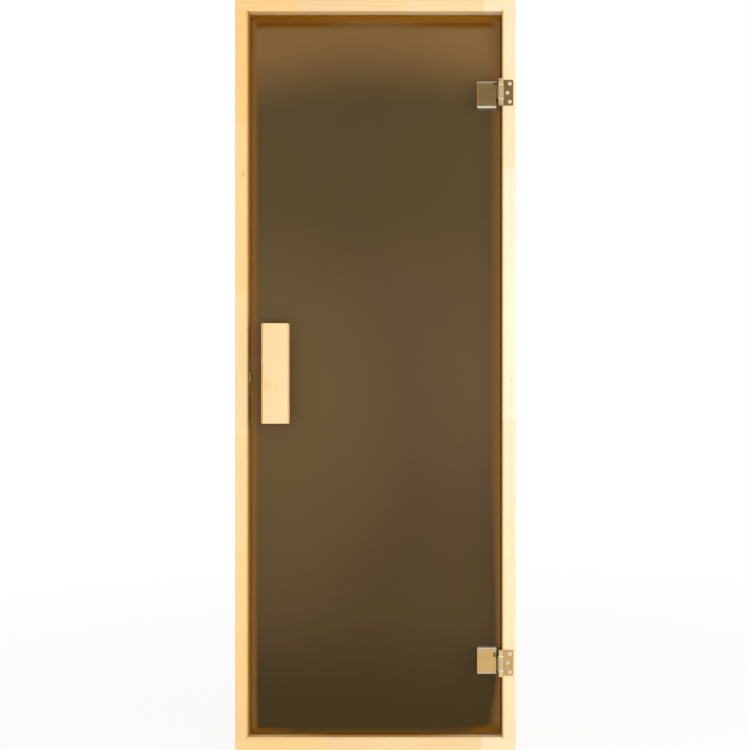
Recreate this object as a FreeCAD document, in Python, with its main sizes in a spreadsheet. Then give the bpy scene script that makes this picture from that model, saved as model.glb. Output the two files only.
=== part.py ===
"""Sauna door: a satin bronze glass leaf on two offset hinges in a rebated pine frame.

Frame of reference, millimetres: X runs across the doorway with the hinges at +X, Y runs from the
front of the frame (-Y) to its back (+Y), Z runs up. The origin is the middle of the sill's underside.
"""
import FreeCAD, Part
import math
import os
import re
import Sketcher

doc = FreeCAD.newDocument("sauna_door")

# Driving dimensions

SIZES = {
    # Frame of four rebated members
    "frame_width": 700,
    "frame_height": 1880,
    "frame_depth": 90,
    "member_face": 32.5,
    "stop_lap": 13.5,
    "reveal_depth": 20.5,
    "arris": 1.5,
    "housing": 3,
    # Seal pressed into a kerf in the stop
    "kerf_width": 3,
    "kerf_depth": 6.5,
    "kerf_clear": 0.1,
    "seal_space": 3.5,
    "seal_clear": 0.3,
    "seal_width": 9,
    "seal_base": 1.2,
    "bulb_width": 6,
    # Glass
    "glass_thickness": 8,
    "glass_gap": 5,
    "glass_arris": 0.8,
    # Hinges
    "hinge_top_drop": 237,
    "hinge_base_rise": 219,
    "pin_inset": 2.5,
    "pin_diameter": 7,
    "pin_fit": 0.05,
    "pin_seat": 0.02,
    "knuckle_diameter": 12.5,
    "barrel_clear": 0.25,
    "barrel_length": 66,
    "arm_height": 31,
    "washer_thickness": 3,
    "washer_diameter": 14,
    "thrust_clear": 0.3,
    "leaf_reach": 30.5,
    "leaf_height": 64,
    "leaf_thickness": 2.5,
    "leaf_corner": 3,
    "notch_clear": 1.5,
    "screw_hole": 5.5,
    "screw_sink": 1.4,
    "screw_far": 22,
    "screw_near": 16,
    "screw_pitch": 22.5,
    # Hinge arm, clamp and cover on the glass
    "arm_thickness": 4.5,
    "arm_neck": 4,
    "arm_shoulder": 5,
    "arm_inner_bend": 2,
    "plate_thickness": 4,
    "plate_margin": 3.5,
    "pad_thickness": 1.5,
    "cover_gap": 10.75,
    "cover_width": 50,
    "cover_height": 67,
    "cover_stand": 20,
    "cover_wall": 1.5,
    "cover_round": 2.5,
    "cover_roll": 5.5,
    "cover_shift": 4,
    "cover_seat": 0.2,
    "cover_slot_width": 6.5,
    "cover_slot_height": 12.5,
    "cover_slot_inset": 6,
    "cover_slot_rise": 20,
    "arm_slot_clear": 1.5,
    "back_plate_clear": 5,
    "back_plate_corner": 4,
    "clamp_bolt": 8,
    "clamp_bolt_head": 14,
    "clamp_head_height": 3,
    "clamp_hole_clear": 0.2,
    "clamp_pitch": 34,
    "clamp_inset": 20,
    "glass_hole": 14,
    # Handles
    "handle_edge": 70,
    "handle_rise": 941,
    "handle_width": 67,
    "handle_height": 249,
    "handle_thickness": 22,
    "handle_standoff": 22,
    "handle_bevel": 6.5,
    "handle_bevel_depth": 7,
    "handle_round": 2,
    "handle_end_round": 1,
    "handle_bolt": 8,
    "handle_bolt_head": 16,
    "handle_head_height": 5,
    "handle_bolt_inset": 16,
    "handle_bolt_pitch": 60,
    "handle_bolt_lift": 2,
    "plug_diameter": 22,
    "plug_depth": 6,
    "plug_clear": 0.05,
    "bolt_hole_clear": 0.2,
    "block_width": 32,
    "block_height": 120,
    "block_round": 6,
    # Roller catch in the latch stile
    "catch_rise": 932,
    "catch_plate_height": 100,
    "catch_plate_width": 20,
    "catch_plate_thickness": 1.5,
    "catch_plate_corner": 3,
    "catch_screw_pitch": 82,
    "catch_screw_hole": 4.5,
    "case_wall": 1.5,
    "case_height": 46,
    "case_width": 18,
    "catch_travel": 6.5,
    "catch_end_clear": 1,
    "mortise_clear": 0.2,
    "roller_diameter": 14,
    "roller_height": 21,
    "roller_crown": 1.6,
    "roller_bite": 1.5,
    "roller_touch": 0.3,
    "roller_pin": 3,
    "roller_fit": 0.05,
    "roller_side_clear": 0.4,
    "yoke_wall": 3,
    "yoke_width": 11,
    "yoke_nose": 2.5,
    "yoke_back_clear": 1.5,
    "plate_slot_clear": 0.8,
}

# Places that follow from the driving dimensions

PLACES = {
    "half_width": "frame_width / 2",
    "front_y": "-frame_depth / 2",
    "back_y": "frame_depth / 2",
    "member_full": "member_face + stop_lap",
    "reveal_x": "half_width - member_face",
    "stop_x": "half_width - member_full",
    "glass_front": "front_y + reveal_depth",
    "glass_back": "glass_front + glass_thickness",
    "stop_y": "glass_back + seal_space",
    "kerf_line": "member_face + stop_lap / 2",
    "bulb_rise": "seal_space - seal_clear - seal_base",
    "bulb_radius": "(bulb_width * bulb_width / 4 + bulb_rise * bulb_rise) / (2 * bulb_rise)",
    "glass_side": "reveal_x - glass_gap",
    "glass_low": "member_face + glass_gap",
    "glass_high": "frame_height - member_face - glass_gap",
    "knuckle_radius": "knuckle_diameter / 2",
    "pin_x": "reveal_x - pin_inset",
    "pin_y": "front_y - knuckle_radius - barrel_clear",
    "hinge_high": "frame_height - hinge_top_drop",
    "hinge_low": "hinge_base_rise",
    "arm_half": "arm_height / 2",
    "gap_half": "arm_half + thrust_clear + washer_thickness",
    "glass_from_pin": "glass_front - pin_y",
    "plate_back": "glass_from_pin - pad_thickness",
    "plate_front": "plate_back - plate_thickness",
    "cover_front": "glass_from_pin - cover_stand",
    "cover_right": "-cover_gap",
    "cover_left": "-cover_gap - cover_width",
    "arm_left": "-cover_gap + thrust_clear",
    "arm_right": "arm_left + arm_thickness",
    "plate_left": "cover_left + plate_margin",
    "plate_half": "cover_height / 2 - plate_margin",
    "glass_back_from_pin": "glass_from_pin + glass_thickness",
    "back_plate_front": "glass_back_from_pin + pad_thickness",
    "back_plate_back": "back_plate_front + plate_thickness",
    "back_plate_right": "stop_x - back_plate_clear - pin_x",
    "clamp_x": "cover_left + clamp_inset",
    "handle_left": "-half_width + handle_edge",
    "handle_low": "handle_rise - handle_height / 2",
    "handle_bolt_x": "handle_left + handle_bolt_inset",
    "handle_bolt_high": "handle_rise + handle_bolt_lift + handle_bolt_pitch / 2",
    "handle_bolt_low": "handle_rise + handle_bolt_lift - handle_bolt_pitch / 2",
    "handle_reach": "handle_standoff + handle_thickness",
    "bore_depth": "plug_depth + handle_head_height",
    "roller_radius": "roller_diameter / 2",
    "roller_x": "-glass_side + roller_bite - roller_radius",
    "touch_radius": "roller_radius + roller_touch",
    "touch_side": "roller_radius - roller_bite",
    "roller_y": "glass_front - sqrt(touch_radius * touch_radius - touch_side * touch_side)",
    "plate_face_x": "-reveal_x - roller_x",
    "plate_rear_x": "plate_face_x - catch_plate_thickness",
    "yoke_inner_x": "-roller_radius - yoke_back_clear",
    "yoke_outer_x": "yoke_inner_x - yoke_wall",
    "yoke_low_z": "roller_height / 2 + roller_side_clear",
    "yoke_high_z": "yoke_low_z + yoke_wall",
    "case_inner_x": "yoke_outer_x - catch_travel - catch_end_clear",
    "case_outer_x": "case_inner_x - case_wall",
}


def fill_sheets():
    """Write the driving dimensions and the places into two sheets with an alias each."""
    sizes = doc.addObject("Spreadsheet::Sheet", "Sizes")
    for row, (alias, value) in enumerate(SIZES.items(), start=1):
        sizes.set(f"A{row}", alias.replace("_", " "))
        sizes.set(f"B{row}", str(value))
        sizes.setAlias(f"B{row}", alias)
    doc.recompute()
    places = doc.addObject("Spreadsheet::Sheet", "Places")
    for row, (alias, rule) in enumerate(PLACES.items(), start=1):
        places.set(f"A{row}", alias.replace("_", " "))
        places.setAlias(f"B{row}", alias)
        places.set(f"B{row}", "=" + re.sub(r"[a-z][a-z_]+", lambda word: sized(word.group()), rule))
    doc.recompute()
    return places


def sized(word):
    """Name a driving dimension by its sheet, and leave every other word as it is."""
    return f"Sizes.{word}" if word in SIZES else word


def bound(rule):
    """Name each size and place in a rule by the sheet that holds it."""
    def named(match):
        word = match.group()
        return f"Places.{word}" if word in PLACES else sized(word)
    return re.sub(r"[a-z][a-z_]+", named, rule)


def number(rule):
    """Work out a rule's value in millimetres."""
    return float(places.evalExpression(bound(rule)))


# Ways of making a piece

def start_body(label, x="0", y="0", z="0"):
    """Start a piece at its own place in the door's frame."""
    body = doc.addObject("PartDesign::Body", label)
    body.Label = label
    for axis, rule in zip("xyz", (x, y, z)):
        body.setExpression(f"Placement.Base.{axis}", bound(rule))
    return body


def start_sketch(body, role, name, level):
    """Open a sketch on one of the body's origin planes, moved along the plane's normal."""
    sketch = body.newObject("Sketcher::SketchObject", name)
    plane = next(feature for feature in body.Origin.OriginFeatures if feature.Role == role)
    sketch.AttachmentSupport = [(plane, "")]
    sketch.MapMode = "FlatFace"
    sketch.setExpression("AttachmentOffset.Base.z", bound(level))
    return sketch


def pin_point(sketch, side, end, x, y, name):
    """Hold one end of a side, or a circle's middle, at its place."""
    for kind, rule in (("DistanceX", x), ("DistanceY", y)):
        index = sketch.addConstraint(Sketcher.Constraint(kind, -1, 1, side, end, number(rule)))
        sketch.renameConstraint(index, f"{name}_{kind[-1].lower()}")
        sketch.setExpression(f"Constraints.{name}_{kind[-1].lower()}", bound(rule))


def set_radius(sketch, side, rule, name):
    """Hold the radius of an arc or a circle."""
    index = sketch.addConstraint(Sketcher.Constraint("Radius", side, number(rule)))
    sketch.renameConstraint(index, f"{name}_radius")
    sketch.setExpression(f"Constraints.{name}_radius", bound(rule))


def arc_between(start, end, radius, turn):
    """Arc from start to end; turn is 1 where it runs anticlockwise and -1 where it runs clockwise."""
    chord = end - start
    rise = math.sqrt(max(radius ** 2 - chord.Length ** 2 / 4, 0))
    inward = FreeCAD.Vector(-chord.y, chord.x, 0).normalize() * turn
    centre = (start + end) / 2 + inward * rise
    first, last = (start, end) if turn > 0 else (end, start)
    circle = Part.Circle(centre, FreeCAD.Vector(0, 0, 1), radius)
    return Part.ArcOfCircle(circle, circle.parameter(first), circle.parameter(last))


def draw_outline(sketch, corners, name="corner"):
    """Draw a closed outline.

    A corner is (x, y). Where it is (x, y, radius, turn), an arc leads to it from the corner before.
    """
    spots = [FreeCAD.Vector(number(corner[0]), number(corner[1]), 0) for corner in corners]
    base = sketch.GeometryCount
    ends = []
    for index, corner in enumerate(corners):
        follower = corners[(index + 1) % len(corners)]
        start, end = spots[index], spots[(index + 1) % len(corners)]
        if len(follower) == 2:
            sketch.addGeometry(Part.LineSegment(start, end))
            ends.append((1, 2))
        else:
            turn = follower[3]
            sketch.addGeometry(arc_between(start, end, number(follower[2]), turn))
            ends.append((1, 2) if turn > 0 else (2, 1))
    for index, corner in enumerate(corners):
        side = base + index
        after = (index + 1) % len(corners)
        joint = Sketcher.Constraint("Coincident", side, ends[index][1], base + after, ends[after][0])
        sketch.addConstraint(joint)
        pin_point(sketch, side, ends[index][0], corner[0], corner[1], f"{name}{index}")
        if len(corners[after]) == 4:
            set_radius(sketch, side, corners[after][2], f"{name}{index}")


def draw_rectangle(sketch, left, low, right, high, name="corner"):
    """Draw a rectangle between two opposite corners."""
    draw_outline(sketch, [(left, low), (right, low), (right, high), (left, high)], name)


def draw_circle(sketch, x, y, radius, name="ring"):
    """Draw a circle."""
    centre = FreeCAD.Vector(number(x), number(y), 0)
    side = sketch.addGeometry(Part.Circle(centre, FreeCAD.Vector(0, 0, 1), number(radius)))
    pin_point(sketch, side, 3, x, y, name)
    set_radius(sketch, side, radius, name)


def rounded(left, low, right, high, radius):
    """Corners of a rectangle with four round corners, anticlockwise."""
    return [
        (f"{right} - {radius}", low),
        (right, f"{low} + {radius}", radius, 1),
        (right, f"{high} - {radius}"),
        (f"{right} - {radius}", high, radius, 1),
        (f"{left} + {radius}", high),
        (left, f"{high} - {radius}", radius, 1),
        (left, f"{low} + {radius}"),
        (f"{left} + {radius}", low, radius, 1),
    ]


def grow(body, sketch, length, back=False):
    """Pad a sketch along its plane's normal, or the other way with back."""
    pad = body.newObject("PartDesign::Pad", sketch.Name + "_pad")
    pad.Profile = sketch
    pad.setExpression("Length", bound(length))
    pad.Reversed = back
    body.Tip = pad
    doc.recompute()
    return pad


def cut(body, sketch, depth=None, back=False):
    """Pocket a sketch against its plane's normal, or along it with back; all the way with no depth."""
    before = body.Shape.Volume
    pocket = body.newObject("PartDesign::Pocket", sketch.Name + "_pocket")
    pocket.Profile = sketch
    if depth is None:
        pocket.Type = "ThroughAll"
    else:
        pocket.setExpression("Length", bound(depth))
    pocket.Reversed = back
    body.Tip = pocket
    doc.recompute()
    if body.Shape.Volume >= before:
        raise RuntimeError(f"{sketch.Name} cuts nothing from {body.Label}")
    return pocket


def find_edges(body, wanted):
    """Names of the body's edges that a test picks."""
    edges = body.Shape.Edges
    return [f"Edge{index}" for index, edge in enumerate(edges, start=1) if wanted(edge)]


def local_middle(body, edge):
    """Middle of an edge, in the body's own coordinates."""
    middle = edge.valueAt((edge.FirstParameter + edge.LastParameter) / 2)
    return body.Placement.inverse().multVec(middle)


def round_edges(body, wanted, radius, name):
    """Round the picked edges."""
    base = (body.Tip, find_edges(body, wanted))
    fillet = body.newObject("PartDesign::Fillet", name)
    fillet.Base = base
    fillet.setExpression("Radius", bound(radius))
    body.Tip = fillet
    doc.recompute()


def sink_edges(body, wanted, size, name):
    """Chamfer the picked edges."""
    base = (body.Tip, find_edges(body, wanted))
    chamfer = body.newObject("PartDesign::Chamfer", name)
    chamfer.Base = base
    chamfer.setExpression("Size", bound(size))
    body.Tip = chamfer
    doc.recompute()


def near(first, second):
    """True where two lengths agree."""
    return abs(first - second) < 0.01


# Frame members

def member_section(place, mirror):
    """Rebated section: a front part, and a deeper stop that the glass closes against.

    It is given by the depth from front to back and by the distance in from the outer face, and place
    turns those two into the sketch's own coordinates.
    """
    section = [
        ("back_y - arris", "0"),
        ("back_y", "arris", "arris", 1),
        ("back_y", "member_full - arris"),
        ("back_y - arris", "member_full", "arris", 1),
        ("stop_y + arris", "member_full"),
        ("stop_y", "member_full - arris", "arris", 1),
        ("stop_y", "member_face"),
        ("front_y + arris", "member_face"),
        ("front_y", "member_face - arris", "arris", 1),
        ("front_y", "arris"),
        ("front_y + arris", "0", "arris", 1),
    ]
    return turned(section, place, mirror)


def turned(section, place, mirror):
    """Section in sketch coordinates; arcs turn the other way where place mirrors it."""
    corners = []
    for depth, inward, *arc in section:
        corner = place(depth, inward)
        if arc:
            corner += (arc[0], arc[1] * mirror)
        corners.append(corner)
    return corners


def on_sill(depth, inward):
    """Point of the sill's section, in a sketch across the door."""
    return (depth, inward)


def on_head(depth, inward):
    """Point of the head's section, in a sketch across the door."""
    return (depth, f"frame_height - ({inward})")


def on_hinge_stile(depth, inward):
    """Point of the hinge stile's section, in a level sketch."""
    return (f"half_width - ({inward})", depth)


def on_latch_stile(depth, inward):
    """Point of the latch stile's section, in a level sketch."""
    return (f"-half_width + ({inward})", depth)


def cut_kerf(body, role, start, length, place):
    """Kerf for the seal, along a member's stop."""
    kerf = start_sketch(body, role, body.Label + "_kerf", start)
    low = place("stop_y", "kerf_line - kerf_width / 2")
    high = place("stop_y + kerf_depth", "kerf_line + kerf_width / 2")
    draw_rectangle(kerf, *low, *high)
    cut(body, kerf, length, back=True)


def make_cross_member(label, place, mirror):
    """Head or sill: it runs over the full width, and the stiles are let into it."""
    body = start_body(label)
    section = start_sketch(body, "YZ_Plane", label + "_section", "-half_width")
    draw_outline(section, member_section(place, mirror))
    grow(body, section, "frame_width")
    cut_kerf(body, "YZ_Plane", "-reveal_x", "2 * reveal_x", place)
    inner_face = place("stop_y", "member_face")[1]
    housings = start_sketch(body, "XY_Plane", label + "_housings", inner_face)
    draw_rectangle(housings, "reveal_x", "front_y - arris", "half_width + arris", "stop_y", "hinge_side")
    draw_rectangle(housings, "-half_width - arris", "front_y - arris", "-reveal_x", "stop_y", "latch_side")
    cut(body, housings, "housing", back=mirror < 0)
    return body


def make_stile(label, place, mirror):
    """Stile: its front part is let into head and sill, and its stop is cut back to their stops."""
    body = start_body(label)
    foot, top = "member_face - housing", "frame_height - member_face + housing"
    section = start_sketch(body, "XY_Plane", label + "_section", foot)
    draw_outline(section, member_section(place, mirror))
    grow(body, section, f"{top} - ({foot})")
    for end, level, back in (("foot", foot, True), ("top", top, False)):
        shoulder = start_sketch(body, "XY_Plane", f"{label}_{end}", level)
        low = place("stop_y", "-arris")
        high = place("back_y + arris", "member_full + arris")
        draw_rectangle(shoulder, *low, *high)
        cut(body, shoulder, "stop_lap + housing", back=back)
    cut_kerf(body, "XY_Plane", "member_face", "frame_height", place)
    return body


def cut_mortise(body):
    """Mortise in the latch stile: a shallow seat for the face plate and a deep one for the case."""
    seat = start_sketch(body, "YZ_Plane", "mortise_seat", "-reveal_x")
    draw_rectangle(seat, "roller_y - catch_plate_width / 2 - mortise_clear",
                   "catch_rise - catch_plate_height / 2 - mortise_clear",
                   "roller_y + catch_plate_width / 2 + mortise_clear",
                   "catch_rise + catch_plate_height / 2 + mortise_clear")
    cut(body, seat, "catch_plate_thickness")
    pocket = start_sketch(body, "YZ_Plane", "mortise_pocket", "-reveal_x")
    draw_rectangle(pocket, "roller_y - case_width / 2 - mortise_clear",
                   "catch_rise - case_height / 2 - mortise_clear",
                   "roller_y + case_width / 2 + mortise_clear",
                   "catch_rise + case_height / 2 + mortise_clear")
    cut(body, pocket, "-reveal_x - roller_x - case_outer_x + mortise_clear")


def seal_section(place, mirror):
    """Bulb seal: a stem in the kerf, a flange on the stop and a soft bulb towards the glass."""
    section = [
        ("stop_y + kerf_depth - kerf_clear", "kerf_line - kerf_width / 2 + kerf_clear"),
        ("stop_y + kerf_depth - kerf_clear", "kerf_line + kerf_width / 2 - kerf_clear"),
        ("stop_y", "kerf_line + kerf_width / 2 - kerf_clear"),
        ("stop_y", "kerf_line + seal_width / 2"),
        ("stop_y - seal_base", "kerf_line + seal_width / 2"),
        ("stop_y - seal_base", "kerf_line + bulb_width / 2"),
        ("stop_y - seal_base", "kerf_line - bulb_width / 2", "bulb_radius", 1),
        ("stop_y - seal_base", "kerf_line - seal_width / 2"),
        ("stop_y", "kerf_line - seal_width / 2"),
        ("stop_y", "kerf_line - kerf_width / 2 + kerf_clear"),
    ]
    return turned(section, place, mirror)


def make_cross_seal(label, place, mirror):
    """Seal of the head or the sill, between the reveals."""
    body = start_body(label)
    section = start_sketch(body, "YZ_Plane", label + "_section", "-reveal_x")
    draw_outline(section, seal_section(place, mirror))
    grow(body, section, "2 * reveal_x")
    return body


def make_side_seal(label, place, mirror):
    """Seal of a stile, between the stops of head and sill."""
    body = start_body(label)
    section = start_sketch(body, "XY_Plane", label + "_section", "member_full")
    draw_outline(section, seal_section(place, mirror))
    grow(body, section, "frame_height - 2 * member_full")
    return body


# Glass leaf

def make_glass():
    """Toughened glass leaf with holes for the handle bolts and the hinge clamps."""
    body = start_body("door_glass")
    sheet = start_sketch(body, "XZ_Plane", "glass_sheet", "-glass_front")
    draw_rectangle(sheet, "-glass_side", "glass_low", "glass_side", "glass_high")
    grow(body, sheet, "glass_thickness", back=True)
    sink_edges(body, lambda edge: not near(edge.Length, number("glass_thickness")), "glass_arris",
               "glass_edges")
    holes = start_sketch(body, "XZ_Plane", "glass_holes", "-glass_front")
    for name, height in (("upper", "handle_bolt_high"), ("lower", "handle_bolt_low")):
        draw_circle(holes, "handle_bolt_x", height, "glass_hole / 2", f"handle_{name}")
    for hinge, height, shift in HINGES:
        for name, sign in (("upper", "+"), ("lower", "-")):
            draw_circle(holes, "pin_x + clamp_x", f"{height} {shift} cover_shift {sign} clamp_pitch / 2",
                        "glass_hole / 2", f"{hinge}_{name}")
    cut(body, holes)
    return body


# Hinges: each hinge is drawn round its own pin, and its clamp is shifted towards the door's middle

HINGES = [
    ("upper_hinge", "hinge_high", "-"),
    ("lower_hinge", "hinge_low", "+"),
]


def start_hinge_body(hinge, height, name):
    """Start a hinge piece at the pin, at the middle of the barrel."""
    return start_body(f"{hinge}_{name}", "pin_x", "pin_y", height)


def make_frame_leaf(hinge, height):
    """Leaf screwed to the frame's face, curled into the two outer knuckles."""
    body = start_hinge_body(hinge, height, "frame_leaf")
    plate = start_sketch(body, "XZ_Plane", f"{hinge}_leaf_plate", "-knuckle_radius - barrel_clear")
    draw_rectangle(plate, "0", "-leaf_height / 2", "leaf_reach", "leaf_height / 2")
    grow(body, plate, "leaf_thickness")
    for end, level, back in (("top", "gap_half", False), ("foot", "-gap_half", True)):
        knuckle = start_sketch(body, "XY_Plane", f"{hinge}_{end}_knuckle", level)
        draw_circle(knuckle, "0", "0", "knuckle_radius")
        grow(body, knuckle, "barrel_length / 2 - gap_half", back=back)
    notch = start_sketch(body, "XZ_Plane", f"{hinge}_notch", "0")
    draw_rectangle(notch, "-notch_clear", "-gap_half", "knuckle_radius + notch_clear", "gap_half")
    cut(body, notch, "knuckle_diameter")
    bore = start_sketch(body, "XY_Plane", f"{hinge}_leaf_bore", "-barrel_length")
    draw_circle(bore, "0", "0", "pin_diameter / 2 + pin_seat")
    cut(body, bore, "2 * barrel_length", back=True)
    holes = start_sketch(body, "XZ_Plane", f"{hinge}_screw_holes", "0")
    draw_circle(holes, "screw_far", "screw_pitch", "screw_hole / 2", "top")
    draw_circle(holes, "screw_near", "0", "screw_hole / 2", "middle")
    draw_circle(holes, "screw_far", "-screw_pitch", "screw_hole / 2", "foot")
    cut(body, holes, "knuckle_diameter")
    front = number("knuckle_radius + barrel_clear - leaf_thickness")

    def is_screw_mouth(edge):
        if edge.Curve.TypeId != "Part::GeomCircle" or not near(edge.Curve.Radius, number("screw_hole / 2")):
            return False
        return near(local_middle(body, edge).y, front)

    sink_edges(body, is_screw_mouth, "screw_sink", f"{hinge}_countersinks")

    def is_far_corner(edge):
        middle = local_middle(body, edge)
        along_depth = edge.Curve.TypeId == "Part::GeomLine" and near(edge.Length, number("leaf_thickness"))
        return along_depth and near(middle.x, number("leaf_reach"))

    round_edges(body, is_far_corner, "leaf_corner", f"{hinge}_leaf_corners")
    return body


def make_arm(hinge, height, shift):
    """Arm of the middle knuckle, stepped back to the plate that lies on the glass."""
    body = start_hinge_body(hinge, height, "arm")
    profile = start_sketch(body, "XY_Plane", f"{hinge}_arm_profile", "-arm_half")
    draw_outline(profile, [
        ("plate_left + plate_thickness", "plate_back"),
        ("arm_right", "plate_back"),
        ("arm_right", "arm_neck"),
        ("0", "arm_neck"),
        ("0", "-arm_neck"),
        ("arm_left + arm_shoulder", "-arm_neck"),
        ("arm_left", "-arm_neck + arm_shoulder", "arm_shoulder", -1),
        ("arm_left", "plate_front - arm_inner_bend"),
        ("arm_left - arm_inner_bend", "plate_front", "arm_inner_bend", 1),
        ("plate_left + plate_thickness", "plate_front"),
    ])
    grow(body, profile, "arm_height")
    knuckle = start_sketch(body, "XY_Plane", f"{hinge}_middle_knuckle", "-arm_half")
    draw_circle(knuckle, "0", "0", "knuckle_radius")
    grow(body, knuckle, "arm_height")
    plate = start_sketch(body, "XZ_Plane", f"{hinge}_clamp_plate", "-plate_back")
    middle = f"0 {shift} cover_shift"
    draw_outline(plate, rounded("plate_left", f"{middle} - plate_half", "cover_right - plate_margin",
                                f"{middle} + plate_half", "plate_margin"))
    grow(body, plate, "plate_thickness")
    bore = start_sketch(body, "XY_Plane", f"{hinge}_arm_bore", "-barrel_length")
    draw_circle(bore, "0", "0", "pin_diameter / 2 + pin_fit")
    cut(body, bore, "2 * barrel_length", back=True)
    holes = start_sketch(body, "XZ_Plane", f"{hinge}_clamp_holes", "-plate_back")
    draw_clamp_circles(holes, middle, "clamp_bolt / 2 + clamp_hole_clear")
    cut(body, holes, "plate_thickness", back=True)
    return body


def draw_clamp_circles(sketch, middle, radius):
    """Circles at the two bolts of a clamp."""
    draw_circle(sketch, "clamp_x", f"{middle} + clamp_pitch / 2", radius, "top")
    draw_circle(sketch, "clamp_x", f"{middle} - clamp_pitch / 2", radius, "foot")


def cover_outline(shift, wall):
    """Cover seen from the side, or its hollow within a wall; one end is rolled over."""
    away, turn = ("+", 1) if shift == "-" else ("-", -1)
    half = f"(cover_height / 2 - {wall})"
    roll = f"(cover_roll - {wall})"
    rolled_end = f"0 {shift} cover_shift {shift} {half}"
    plain_end = f"0 {shift} cover_shift {away} {half}"
    front = f"cover_front + {wall}"
    return [
        ("glass_from_pin - cover_seat", rolled_end),
        ("glass_from_pin - cover_seat", plain_end),
        (front, plain_end),
        (front, f"{rolled_end} {away} {roll}"),
        (f"{front} + {roll}", rolled_end, roll, turn),
    ]


def make_cover(hinge, height, shift):
    """Folded cover over the clamp plate, open towards the glass and beside the arm.

    Its end towards the door's middle is rolled over with a larger radius than its other edges.
    """
    body = start_hinge_body(hinge, height, "cover")
    block = start_sketch(body, "YZ_Plane", f"{hinge}_cover_block", "cover_left")
    draw_outline(block, cover_outline(shift, "0"))
    grow(body, block, "cover_width")
    rear = number("glass_from_pin - cover_seat")
    plain_end = number(cover_outline(shift, "0")[1][1])

    def is_sharp(edge):
        middle = local_middle(body, edge)
        runs_across = near(edge.Length, number("cover_width"))
        return not near(middle.y, rear) and (near(middle.z, plain_end) or not runs_across)

    round_edges(body, is_sharp, "cover_round", f"{hinge}_cover_edges")
    hollow = start_sketch(body, "YZ_Plane", f"{hinge}_cover_hollow", "cover_left + cover_wall")
    draw_outline(hollow, cover_outline(shift, "cover_wall"))
    cut(body, hollow, "cover_width - 2 * cover_wall", back=True)
    gate = start_sketch(body, "XZ_Plane", f"{hinge}_cover_gate", "-glass_from_pin + cover_seat")
    draw_rectangle(gate, "cover_right - 2 * cover_wall", "-arm_half - arm_slot_clear",
                   "cover_right + cover_wall", "arm_half + arm_slot_clear")
    cut(body, gate, "pad_thickness + plate_thickness + arm_inner_bend + arm_slot_clear", back=True)
    slot = start_sketch(body, "XZ_Plane", f"{hinge}_cover_slot", "-cover_front")
    end = "cover_slot_width / 2"
    left = f"cover_right - cover_slot_inset - {end}"
    right = f"cover_right - cover_slot_inset + {end}"
    low = "cover_slot_rise - cover_slot_height / 2"
    high = "cover_slot_rise + cover_slot_height / 2"
    draw_outline(slot, [
        (right, f"{high} - {end}"),
        (f"{right} - {end}", high, end, 1),
        (left, f"{high} - {end}", end, 1),
        (left, f"{low} + {end}"),
        (f"{left} + {end}", low, end, 1),
        (right, f"{low} + {end}", end, 1),
    ])
    cut(body, slot, "cover_wall")
    return body


def make_clamp_pads(hinge, height, shift):
    """Soft pads between the glass and the two clamp plates."""
    pads = []
    middle = f"0 {shift} cover_shift"
    for side, level, right in (("front", "-glass_from_pin", "cover_right - plate_margin"),
                               ("rear", "-back_plate_front", "back_plate_right")):
        body = start_hinge_body(hinge, height, f"{side}_pad")
        sheet = start_sketch(body, "XZ_Plane", f"{hinge}_{side}_pad_sheet", level)
        draw_outline(sheet, rounded("plate_left", f"{middle} - plate_half", right,
                                    f"{middle} + plate_half", "plate_margin"))
        grow(body, sheet, "pad_thickness")
        holes = start_sketch(body, "XZ_Plane", f"{hinge}_{side}_pad_holes", level)
        draw_clamp_circles(holes, middle, "clamp_bolt / 2 + clamp_hole_clear")
        cut(body, holes, "pad_thickness", back=True)
        pads.append(body)
    return pads


def make_back_plate(hinge, height, shift):
    """Clamp plate behind the glass."""
    body = start_hinge_body(hinge, height, "back_plate")
    middle = f"0 {shift} cover_shift"
    sheet = start_sketch(body, "XZ_Plane", f"{hinge}_back_sheet", "-back_plate_back")
    draw_outline(sheet, rounded("plate_left", f"{middle} - plate_half", "back_plate_right",
                                f"{middle} + plate_half", "back_plate_corner"))
    grow(body, sheet, "plate_thickness")
    holes = start_sketch(body, "XZ_Plane", f"{hinge}_back_holes", "-back_plate_back")
    draw_clamp_circles(holes, middle, "clamp_bolt / 2 + clamp_hole_clear")
    cut(body, holes, "plate_thickness", back=True)
    rear = number("back_plate_back")
    outer = number("clamp_bolt / 2 + clamp_hole_clear")

    def is_rear_rim(edge):
        round_hole = edge.Curve.TypeId == "Part::GeomCircle" and near(edge.Curve.Radius, outer)
        return near(local_middle(body, edge).y, rear) and not round_hole

    round_edges(body, is_rear_rim, "cover_wall", f"{hinge}_back_rim")
    return body


def make_cylinder(name, radius, length, x, y, z, axis="y"):
    """Round bar along Y, towards +Y, or along Z, towards +Z."""
    bar = doc.addObject("Part::Cylinder", name)
    bar.setExpression("Radius", bound(radius))
    bar.setExpression("Height", bound(length))
    if axis == "y":
        bar.Placement.Rotation = FreeCAD.Rotation(FreeCAD.Vector(1, 0, 0), -90)
    for direction, rule in zip("xyz", (x, y, z)):
        bar.setExpression(f"Placement.Base.{direction}", bound(rule))
    return bar


def join(label, pieces):
    """Fuse overlapping or touching pieces into one."""
    fuse = doc.addObject("Part::MultiFuse", label)
    fuse.Label = label
    fuse.Shapes = pieces
    fuse.Refine = True
    return fuse


def gather(label, pieces):
    """Keep like pieces that don't touch in one sub-part."""
    group = doc.addObject("Part::Compound", label)
    group.Label = label
    group.Links = pieces
    return group


def make_pin(hinge, height):
    """Hinge pin, seated in the outer knuckles."""
    label = f"{hinge}_pin"
    pin = make_cylinder(label, "pin_diameter / 2", "barrel_length", "pin_x", "pin_y",
                        f"{height} - barrel_length / 2", axis="z")
    pin.Label = label
    return pin


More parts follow.
